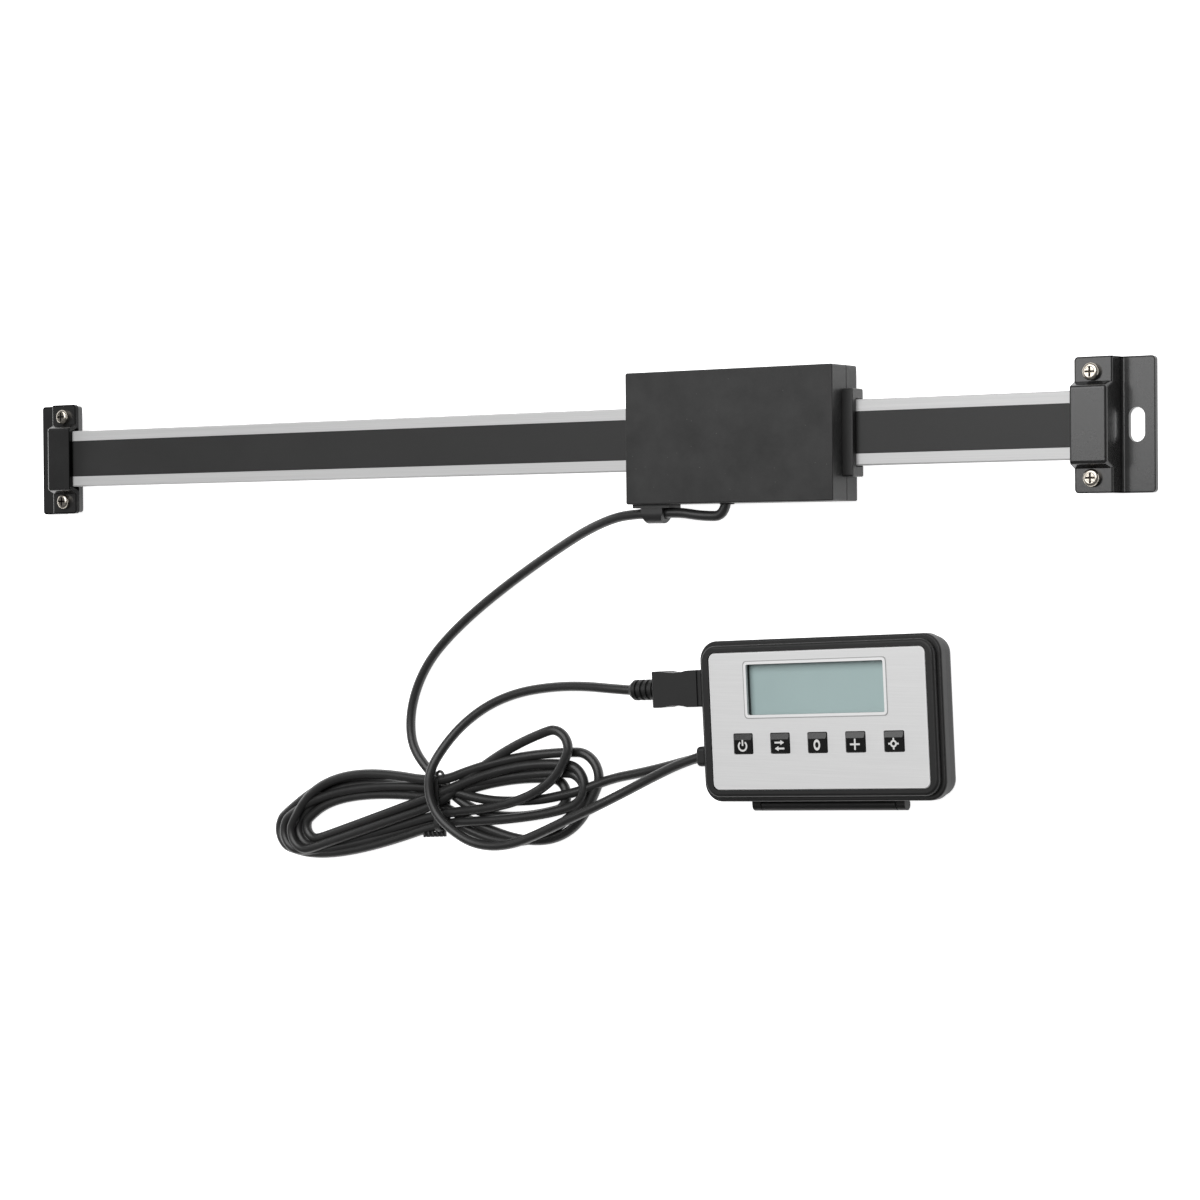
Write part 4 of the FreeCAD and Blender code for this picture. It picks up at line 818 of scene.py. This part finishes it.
@dataclass(frozen=True)
class Loop:
    """One loop of the hank, from the tie out to its fold and back.

    Each strand leaves the tie, swings by a point and runs into the fold's arc.
    """

    fold: Point
    radius: float
    upper_swing: Point
    lower_swing: Point
    enters: Strand

    def swing(self, which: Strand) -> Point:
        """The point that a strand swings by."""
        return self.upper_swing if which is Strand.UPPER else self.lower_swing

    def strand(self, start: Vector, which: Strand, side: int) -> list[Vector]:
        """Points of one strand from the tie to the fold.

        Args:
            start: Where the strand leaves the tie.
            which: The upper or the lower strand.
            side: 1 for a loop right of the tie, -1 for one left of it.

        Returns:
            The points, without the one on the fold.
        """
        swing, end = Vector(self.swing(which)), self.fold_point(self.touch(which, side))
        points = []
        for step in range(STRAND_STEPS):
            share = step / STRAND_STEPS
            rest = 1 - share
            points.append(start * rest * rest + swing * 2 * rest * share + end * share * share)
        return points

    def touch(self, which: Strand, side: int) -> float:
        """Angle at which a strand meets the fold's arc without a kink.

        Args:
            which: The upper or the lower strand.
            side: 1 for a loop right of the tie, -1 for one left of it.

        Returns:
            The angle in radians, counted from +X.
        """
        swing = self.swing(which)
        away_x, away_y = swing[0] - self.fold[0], swing[1] - self.fold[1]
        lean = math.acos(self.radius / math.hypot(away_x, away_y))
        turn = -side if which is Strand.UPPER else side
        return math.atan2(away_y, away_x) + turn * lean

    def fold_point(self, angle: float) -> Vector:
        """A point of the fold's arc."""
        x, y, z = self.fold
        return Vector((x + self.radius * math.cos(angle), y + self.radius * math.sin(angle), z))

    def points(self, start: Vector, end: Vector) -> list[Vector]:
        """All points of the loop in the order in which the cable runs.

        Args:
            start: Where the cable leaves the tie.
            end: Where it comes back to the tie.

        Returns:
            The points in millimetres.
        """
        side = 1 if self.fold[0] > start.x else -1
        first, last = self.touch(Strand.UPPER, side), self.touch(Strand.LOWER, side)
        while side * (first - last) < 0:
            last -= side * math.tau
        while side * (first - last) > math.tau:
            last += side * math.tau
        angles = [first + (last - first) * step / FOLD_STEPS for step in range(FOLD_STEPS + 1)]
        arc = [self.fold_point(angle) for angle in angles]
        from_above = self.enters is Strand.UPPER
        upper = self.strand(start if from_above else end, Strand.UPPER, side)
        lower = self.strand(end if from_above else start, Strand.LOWER, side)
        path = upper + arc + lower[::-1]
        return path if from_above else path[::-1]


@dataclass
class ScaleCable:
    """The cable from the reader through its clip and the tied hank to the readout's anchor.

    In the hank it passes the tie at the crossings, which are heights and levels, with a loop between two.
    """

    radius: float = 1.6
    length: float = 1.65
    tie_x: float = -36.0
    nearest: float = 0.5
    exit: Point = (82.2, 27.2, 13.0)
    lead: Path = (
        (82.2, 31.2, 13.0), (82.2, 23.2, 13.0), (73.1, 23.3, 13.0), (64.9, 24.6, 13.0), (56.85, 24.3, 13.0),
        (49.05, 24.3, 12.9), (39.7, 23.4, 11.6), (26.9, 19.6, 8.5), (13.2, 13.8, 5.0), (-0.2, 7.2, 2.6),
        (-11.4, 0.8, 1.8), (-22.6, -6.5, 1.65), (-33.4, -14.7, 1.65), (-42.0, -23.0, 1.65),
        (-47.9, -32.6, 1.65), (-50.7, -43.0, 1.7), (-49.4, -52.9, 2.0), (-42.0, -60.8, 2.2),
    )
    crossings: tuple[Flat, ...] = (
        (-65.5, 1.7), (-69.2, 2.6), (-67.6, 5.0), (-77.4, 3.0), (-72.5, 1.7), (-63.9, 5.2), (-70.8, 4.2),
        (-74.1, 3.6), (-67.2, 2.4), (-75.8, 1.8), (-65.6, 3.4),
    )
    loops: tuple[Loop, ...] = (
        Loop((8.2, -66.5, 1.8), 5.3, (-12.0, -60.5, 1.8), (-22.0, -80.0, 1.7), Strand.LOWER),
        Loop((-91.3, -81.0, 2.2), 4.2, (-84.0, -66.0, 2.0), (-80.0, -82.1, 4.0), Strand.UPPER),
        Loop((14.6, -63.2, 3.4), 7.0, (-8.0, -54.9, 4.4), (5.0, -74.8, 4.4), Strand.UPPER),
        Loop((-101.0, -82.6, 1.8), 6.9, (-77.0, -51.2, 2.0), (-87.0, -95.4, 2.2), Strand.LOWER),
        Loop((18.0, -60.5, 2.0), 8.3, (-10.0, -53.0, 4.8), (16.0, -97.0, 1.7), Strand.LOWER),
        Loop((-94.5, -82.6, 4.2), 6.4, (-90.0, -54.2, 4.8), (-80.0, -84.8, 4.8), Strand.UPPER),
        Loop((11.2, -51.0, 6.2), 6.0, (-15.0, -52.5, 3.6), (12.0, -71.2, 6.4), Strand.UPPER),
        Loop((-93.3, -81.8, 2.0), 6.0, (-84.0, -59.0, 2.6), (-80.0, -87.2, 2.0), Strand.LOWER),
        Loop((14.5, -65.6, 2.4), 6.6, (-10.0, -59.6, 3.0), (-4.0, -93.0, 1.7), Strand.UPPER),
        Loop((-98.0, -82.9, 3.4), 6.7, (-84.0, -63.9, 3.2), (-82.0, -90.2, 2.0), Strand.LOWER),
    )
    last_strand: Path = ((-18.0, -69.6, 3.2), (2.0, -68.6, 3.4), (13.0, -66.4, 3.2))
    feed: Path = (
        (20.5, -64.5, 2.8), (31.0, -60.4, 1.9), (42.0, -58.3, 1.9), (52.0, -56.0, 2.5), (61.2, -53.6, 3.45),
        (68.6, -51.84, 3.45),
    )

    def route(self) -> list[Vector]:
        """Run from the reader to the anchor, and leave out points that lie too near the one before.

        Returns:
            Control points in metres.
        """
        tied = [Vector((self.tie_x, *crossing)) for crossing in self.crossings]
        runs = [loop.points(start, end) for loop, start, end in zip(self.loops, tied, tied[1:])]
        turns = [point for run in runs for point in run]
        apart = [here for before, here in zip(turns, turns[1:]) if (here - before).length > self.nearest]
        return metres([*self.lead, turns[0], *apart, *self.last_strand, *self.feed])

    def build(self, tie: bpy.types.Object) -> None:
        """Lay the cable in place of its plain solids.

        Args:
            tie: The tie that holds its hank; not used.
        """
        cable = new_cable("scale_cable", self.route(), self.radius)
        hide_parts("cable_lead", "cable_hank", "cable_feed")
        Vector(self.exit) * MM


@dataclass
class PlugCable:
    """The cable that doubles back from the anchor, crosses the hank and ends in the plug."""

    radius: float = 1.6
    length: float = 0.22
    route: Path = (
        (68.6, -51.84, 6.95), (61.1, -54.1, 6.95), (50.4, -58.7, 6.1), (40.2, -63.6, 6.2),
        (30.0, -68.7, 7.9), (19.5, -73.2, 8.4), (9.0, -77.9, 8.6), (-1.5, -82.1, 8.6), (-11.5, -83.9, 8.6),
        (-20.6, -82.9, 8.6), (-28.2, -79.2, 8.6), (-34.6, -74.2, 8.8), (-37.7, -67.4, 8.9),
        (-37.4, -59.8, 8.6), (-33.5, -51.8, 5.8), (-27.2, -44.0, 3.0), (-17.5, -37.5, 1.75),
        (-5.5, -33.3, 1.65), (8.0, -31.3, 2.1), (21.5, -30.7, 4.0), (34.8, -31.4, 5.4), (41.52, -31.68, 5.4),
    )

    def build(self) -> None:
        """Lay the cable in place of its plain solid."""
        cable = new_cable("plug_cable", metres(self.route), self.radius)
        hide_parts("plug_lead")
        Vector(self.route[0]) * MM


@dataclass
class TwistTie:
    """Twist tie round the hank's waist, with its twisted tail below and a small bight above."""

    middle: Point = (-36.0, -70.8, 3.6)
    width: float = 1.8
    tall: float = 18.8
    deep: float = 7.0
    bend: float = 2.6
    bend_steps: int = 6
    thick: float = 0.5
    tail_length: float = 9.0
    tail_width: float = 1.9
    tail_thick: float = 1.0
    tail_turns: float = 2.5
    tail_steps: int = 30
    tail_start: Point = (-34.6, -80.9, 3.6)
    tail_heading: float = 184.0
    bight_radius: float = 1.3
    bight_wire: float = 0.5
    bight_sides: int = 8
    bight_sweep: float = 230.0
    bight_steps: int = 16
    bight_turn: float = -25.0
    bight_place: Point = (-34.6, -61.3, 6.4)

    def band(self) -> Shape:
        """Draw a rounded strap, open where the cable runs through.

        Returns:
            The strap.
        """
        shape = bmesh.new()
        bmesh.ops.create_cube(shape, size=1.0)
        bmesh.ops.scale(shape, vec=(self.width, self.tall, self.deep), verts=shape.verts)
        open_ends = [face for face in shape.faces if abs(face.normal.x) > FACING]
        bmesh.ops.delete(shape, geom=open_ends, context="FACES_ONLY")
        corners = [edge for edge in shape.edges if edge.verts[0].co.x * edge.verts[1].co.x < 0]
        bmesh.ops.bevel(shape, geom=corners, offset=self.bend, segments=self.bend_steps, affect="EDGES",
                        profile=ARC_PROFILE, material=-1)
        bmesh.ops.recalc_face_normals(shape, faces=shape.faces)
        bmesh.ops.solidify(shape, geom=shape.faces[:], thickness=self.thick)
        move(shape, self.middle)
        return shape

    def tail(self) -> Shape:
        """Draw the two ends of the tie, twisted about each other.

        Returns:
            The tail.
        """
        shape = bmesh.new()
        bar(shape, self.tail_thick, self.tail_width)
        end = shape.faces[:]
        step = self.tail_length / self.tail_steps
        turn = FULL_TURN * self.tail_turns / self.tail_steps
        for count in range(self.tail_steps):
            made = bmesh.ops.extrude_face_region(shape, geom=end)["geom"]
            if count:
                bmesh.ops.delete(shape, geom=end, context="FACES_ONLY")
            end = [item for item in made if isinstance(item, bmesh.types.BMFace)]
            verts = end[0].verts[:]
            move(shape, (0, 0, step), verts)
            rotate(shape, turn, verts)
        rotate(shape, 90.0, axis="Y")
        rotate(shape, self.tail_heading)
        move(shape, self.tail_start)
        return shape

    def bight(self) -> Shape:
        """Draw a small eye of bent tie that stands above the strands.

        Returns:
            The eye.
        """
        shape = bmesh.new()
        bmesh.ops.create_circle(shape, segments=self.bight_sides, radius=self.bight_wire, cap_ends=True)
        rotate(shape, 90.0, axis="X")
        move(shape, (self.bight_radius, 0, 0))
        bmesh.ops.spin(shape, geom=shape.verts[:] + shape.edges[:] + shape.faces[:], cent=ORIGIN,
                       axis=(0, 0, 1), angle=math.radians(self.bight_sweep), steps=self.bight_steps)
        rotate(shape, self.bight_turn)
        move(shape, self.bight_place)
        return shape

    def build(self) -> bpy.types.Object:
        """Put the tie in place of its plain band.

        Returns:
            The tie.
        """
        shape = joined(self.band(), self.tail(), self.bight())
        tie = new_piece("twist_tie", shape, Palette.TIE, Body.READER.value)
        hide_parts("cable_tie")
        return tie


# The scale, the reader head and the readout


@dataclass
class Scale:
    """Beam, tape, brackets and their screws."""

    def dress(self) -> None:
        """Finish the carried-over nodes."""
        dress(Palette.BEAM, "beam")
        dress(Palette.TAPE, "magnetic_tape")
        dress(Palette.PAINT_LEFT, "left_bracket")
        dress(Palette.PAINT_RIGHT, "right_bracket")
        dress(Palette.PAINT, "left_clamp_plate", "right_clamp_plate")
        dress(Palette.NICKEL, "bracket_screws")


@dataclass
class ReaderHead:
    """The head that slides along the beam."""

    def dress(self) -> None:
        """Finish the carried-over nodes."""
        dress(Palette.READER, "reader_cover", "reader_base")
        dress(Palette.WIPER, "left_wiper", "right_wiper")
        dress(Palette.STRIP, "guide_strips")
        dress(Palette.BOARD, "reader_board")
        dress(Palette.CHIP, "sensor_block")
        dress(Palette.STEEL, "board_screws", "reader_screws")
        dress(Palette.BRASS, "mount_inserts")
        dress(Palette.RUBBER, "cable_grommet", "clip_pad")
        dress(Palette.CLIP, "cable_clip")


@dataclass
class Readout:
    """The table readout with its face, display, buttons and stand.

    The parts of a mark are shares of its size: the bar's place and length in the power mark, the height of
    the swap mark's arrows and their heads, the widths of the zero and the target, and the target's ticks.
    """

    middle: Point = (112.8, -39.05, 0.0)
    turn: float = 2.44
    plate_top: float = 11.8
    window: Flat = (48.0, 15.6)
    window_place: Flat = (-0.4, 9.6)
    rim_width: float = 0.85
    line_width: float = 0.26
    frame_corner: float = 1.2
    corner_steps: int = 5
    frame_proud: float = 0.12
    button_top: float = 12.3
    button_pitch: float = 13.2
    mark_height: float = -7.7
    mark_size: float = 3.4
    mark_stroke: float = 0.55
    mark_proud: float = 0.05
    ring_steps: int = 28
    power_start: float = 125.0
    power_sweep: float = 290.0
    power_bar: Flat = (0.3, 0.55)
    swap_rise: float = 0.27
    swap_head: float = 0.26
    zero_width: float = 0.68
    target_width: float = 0.66
    tick_place: float = 0.42
    tick_length: float = 0.2

    def dress(self) -> None:
        """Finish the carried-over nodes."""
        dress(Palette.CASE, "readout_front", "readout_rear", "stand", "battery_door")
        dress(Palette.PLATE, "face_plate")
        dress(Palette.CLEAR, "lcd_window")
        dress(Palette.LCD, "lcd_panel")
        dress(Palette.CHIP, "lcd_frame", "button_switches")
        dress(Palette.BOARD, "readout_board")
        dress(Palette.STEEL, "usb_socket", "case_screws", "coin_cell", "hinge_pins", "plug_shell")
        dress(Palette.BRASS, "battery_contact")
        dress(Palette.RUBBER, "plug_overmould", "cable_anchor")
        dress(Palette.BUTTON, *[f"button_{index + 1}" for index in range(len(Symbol))])

    def placed(self, shape: Shape, x: float, y: float, z: float) -> None:
        """Move a shape from the readout's own frame to the table.

        Args:
            shape: The shape, drawn round its own middle.
            x: Its middle along the readout.
            y: Its middle up the readout.
            z: Its lowest level.
        """
        move(shape, (x, y, z))
        rotate(shape, self.turn)
        move(shape, self.middle)

    def thicken(self, shape: Shape, proud: float) -> None:
        """Raise a flat shape to a thin solid that stands on its own level.

        Args:
            shape: The flat shape.
            proud: How far it stands up.
        """
        bmesh.ops.recalc_face_normals(shape, faces=shape.faces)
        down = [face for face in shape.faces if face.normal.z < 0]
        bmesh.ops.reverse_faces(shape, faces=down)
        lid = bmesh.ops.extrude_face_region(shape, geom=shape.faces[:], use_keep_orig=True)["geom"]
        raised = [item for item in lid if isinstance(item, Vert)]
        move(shape, (0, 0, proud), raised)

    def display_ring(self, name: str, inside: float, width: float, finish: Palette) -> None:
        """Raised ring round the display's opening.

        Args:
            name: The piece's name.
            inside: How far its inner edge lies outside the opening.
            width: Its width.
            finish: Its finish.
        """
        shape = bmesh.new()
        grow = 2 * (inside + width)
        bar(shape, self.window[0] + grow, self.window[1] + grow)
        bmesh.ops.bevel(shape, geom=shape.verts[:], offset=self.frame_corner, segments=self.corner_steps,
                        affect="VERTICES", profile=ARC_PROFILE, material=-1)
        band = bmesh.ops.inset_region(shape, faces=shape.faces[:], thickness=width, use_boundary=True,
                                      use_even_offset=True)["faces"]
        middle = [face for face in shape.faces if face not in band]
        bmesh.ops.delete(shape, geom=middle, context="FACES")
        self.thicken(shape, self.frame_proud)
        self.placed(shape, *self.window_place, self.plate_top)
        new_piece(name, shape, finish, Body.READER.value)

    def ring(self, shape: Shape, wide: float, tall: float, start: float = 0.0,
             sweep: float = FULL_TURN) -> None:
        """Flat ring or open arc of a mark, round its middle.

        Args:
            shape: The mark.
            wide: Outer width.
            tall: Outer height.
            start: First angle in degrees, counted from +X.
            sweep: Angle that it covers.
        """
        inner = shape.verts.new((1.0 - 2 * self.mark_stroke / wide, 0, 0))
        outer = shape.verts.new((1.0, 0, 0))
        edge = shape.edges.new((inner, outer))
        before = set(shape.verts) - {inner, outer}
        rotate(shape, start, [inner, outer])
        bmesh.ops.spin(shape, geom=[inner, outer, edge], cent=ORIGIN, axis=(0, 0, 1),
                       angle=math.radians(sweep), steps=self.ring_steps, use_merge=sweep >= FULL_TURN)
        made = [vert for vert in shape.verts if vert not in before]
        bmesh.ops.scale(shape, vec=(wide / 2, tall / 2, 1.0), verts=made)

    def arrow(self, shape: Shape, y: float, turn: float) -> None:
        """Flat arrow of a mark.

        Args:
            shape: The mark.
            y: Height of the arrow in the mark.
            turn: 0 for one to the right, 180 for one to the left.
        """
        size = self.mark_size
        radius = size * self.swap_head
        head = bmesh.ops.create_circle(shape, cap_ends=True, segments=3, radius=radius)["verts"]
        rotate(shape, -90.0, head)
        move(shape, (size / 2 - radius, 0, 0), head)
        shaft = size - TRIANGLE_HEIGHT * radius
        both = head + bar(shape, shaft, self.mark_stroke, x=(shaft - size) / 2)
        rotate(shape, turn, both)
        move(shape, (0, y, 0), both)

    def mark(self, symbol: Symbol) -> Shape:
        """Draw one button's symbol flat round its middle.

        Args:
            symbol: Which symbol.

        Returns:
            The flat shape.
        """
        shape = bmesh.new()
        size, stroke = self.mark_size, self.mark_stroke
        if symbol is Symbol.POWER:
            self.ring(shape, size, size, self.power_start, self.power_sweep)
            bar(shape, stroke, size * self.power_bar[1], y=size * self.power_bar[0])
        elif symbol is Symbol.SWAP:
            self.arrow(shape, size * self.swap_rise, 0.0)
            self.arrow(shape, -size * self.swap_rise, 180.0)
        elif symbol is Symbol.ZERO:
            self.ring(shape, size * self.zero_width, size)
        elif symbol is Symbol.PLUS:
            bar(shape, size, stroke)
            for side in (-1, 1):
                bar(shape, stroke, (size - stroke) / 2, y=side * (size + stroke) / 4)
        else:
            self.ring(shape, size * self.target_width, size * self.target_width)
            for side in (-1, 1):
                bar(shape, size * self.tick_length, stroke, x=side * size * self.tick_place)
                bar(shape, stroke, size * self.tick_length, y=side * size * self.tick_place)
        return shape

    def button_marks(self) -> None:
        """Printed symbols on the five buttons, each on its own button's body."""
        middle = (len(Symbol) - 1) / 2
        for index, symbol in enumerate(Symbol):
            shape = self.mark(symbol)
            self.thicken(shape, self.mark_proud)
            self.placed(shape, (index - middle) * self.button_pitch, self.mark_height, self.button_top)
            new_piece(f"mark_{symbol.value}", shape, Palette.INK, f"button_{index + 1}")

    def build(self) -> None:
        """Make the display's frame, with a painted highlight and painted shade, and the marks."""
        # Both rings are raised plate metal: the inner one is painted light as a highlight, the outer one
        # painted dark as shade
        self.display_ring("display_rim_highlight", 0.0, self.rim_width, Palette.RIM_HIGHLIGHT)
        self.display_ring("display_rim_shadow", self.rim_width, self.line_width, Palette.LINE)
        self.button_marks()


# Studio


@dataclass(frozen=True)
class Panel:
    """A soft rectangular light that faces a point."""

    name: str
    place: Point
    aim: Point
    size: Flat
    power: float

    def build(self) -> None:
        """Hang the panel."""
        light = bpy.data.lights.new(self.name, "AREA")
        light.energy = self.power
        light.shape = "RECTANGLE"
        light.size, light.size_y = self.size
        turn = (Vector(self.aim) - Vector(self.place)).to_track_quat("-Z", "Y")
        lamp = new_object(self.name, light)
        lamp.matrix_world = Matrix.Translation(self.place) @ turn.to_matrix().to_4x4()


@dataclass
class Studio:
    """Camera, lights, world and a pale floor."""

    camera_place: Point = (0.57411, 0.01066, 0.81291)
    camera_right: Point = (0.829074, -0.007888, -0.559084)
    camera_up: Point = (-0.001267, 0.999871, -0.015986)
    camera_reach: Flat = (0.01, 50.0)
    lens: float = 91.1
    sensor: float = 36.0
    floor_size: float = 8.0
    floor_level: float = -0.0004
    world_strength: float = 0.16
    floor_glow: float = 0.9
    panels: tuple[Panel, ...] = (
        Panel("overhead", (-0.05, 1.05, 1.8), (-0.05, 1.05, 0.0), (2.2, 2.0), 50.0),
        Panel("left", (-1.5, 0.05, 0.3), (0.0, 0.05, 0.1), (1.6, 0.5), 5.0),
    )

    def camera(self) -> None:
        """Stand where the photograph was taken."""
        data = bpy.data.cameras.new("camera")
        data.lens = self.lens
        data.sensor_width = self.sensor
        data.clip_start, data.clip_end = self.camera_reach
        right, up = Vector(self.camera_right).normalized(), Vector(self.camera_up).normalized()
        turn = Matrix((right, up, right.cross(up))).transposed()
        camera = new_object("camera", data)
        camera.matrix_world = Matrix.Translation(self.camera_place) @ turn.to_4x4()
        bpy.context.scene.camera = camera

    def floor(self) -> None:
        """Lay the pale floor."""
        shape = bmesh.new()
        bar(shape, self.floor_size, self.floor_size)
        move(shape, (0, 0, self.floor_level))
        mesh = bpy.data.meshes.new("floor")
        shape.to_mesh(mesh)
        shape.free()
        paper = Palette.FLOOR.material()
        Wiring(paper.node_tree).shader(Emission_Color=WHITE, Emission_Strength=self.floor_glow)
        mesh.materials.append(paper)
        floor = new_object("floor", mesh)

    def lights(self) -> None:
        """Dim white surroundings and the panels."""
        scene = bpy.context.scene
        scene.view_settings.view_transform = "Standard"
        world = bpy.data.worlds.new("studio")
        world.use_nodes = True
        tree = world.node_tree
        Wiring(tree).feed(tree.nodes["Background"], Color=WHITE, Strength=self.world_strength)
        scene.world = world
        for panel in self.panels:
            panel.build()

    def build(self) -> None:
        """Set up the studio."""
        self.camera()
        self.floor()
        self.lights()
        LOG.info("studio is set")


def main() -> None:
    """Build and dress the object, piece by piece."""
    logging.basicConfig(level=logging.INFO, format="%(message)s")
    Studio().build()
    ScaleCable().build(TwistTie().build())
    PlugCable().build()
    Scale().dress()
    ReaderHead().dress()
    readout = Readout()
    readout.dress()
    readout.build()


if __name__ == "__main__":
    main()
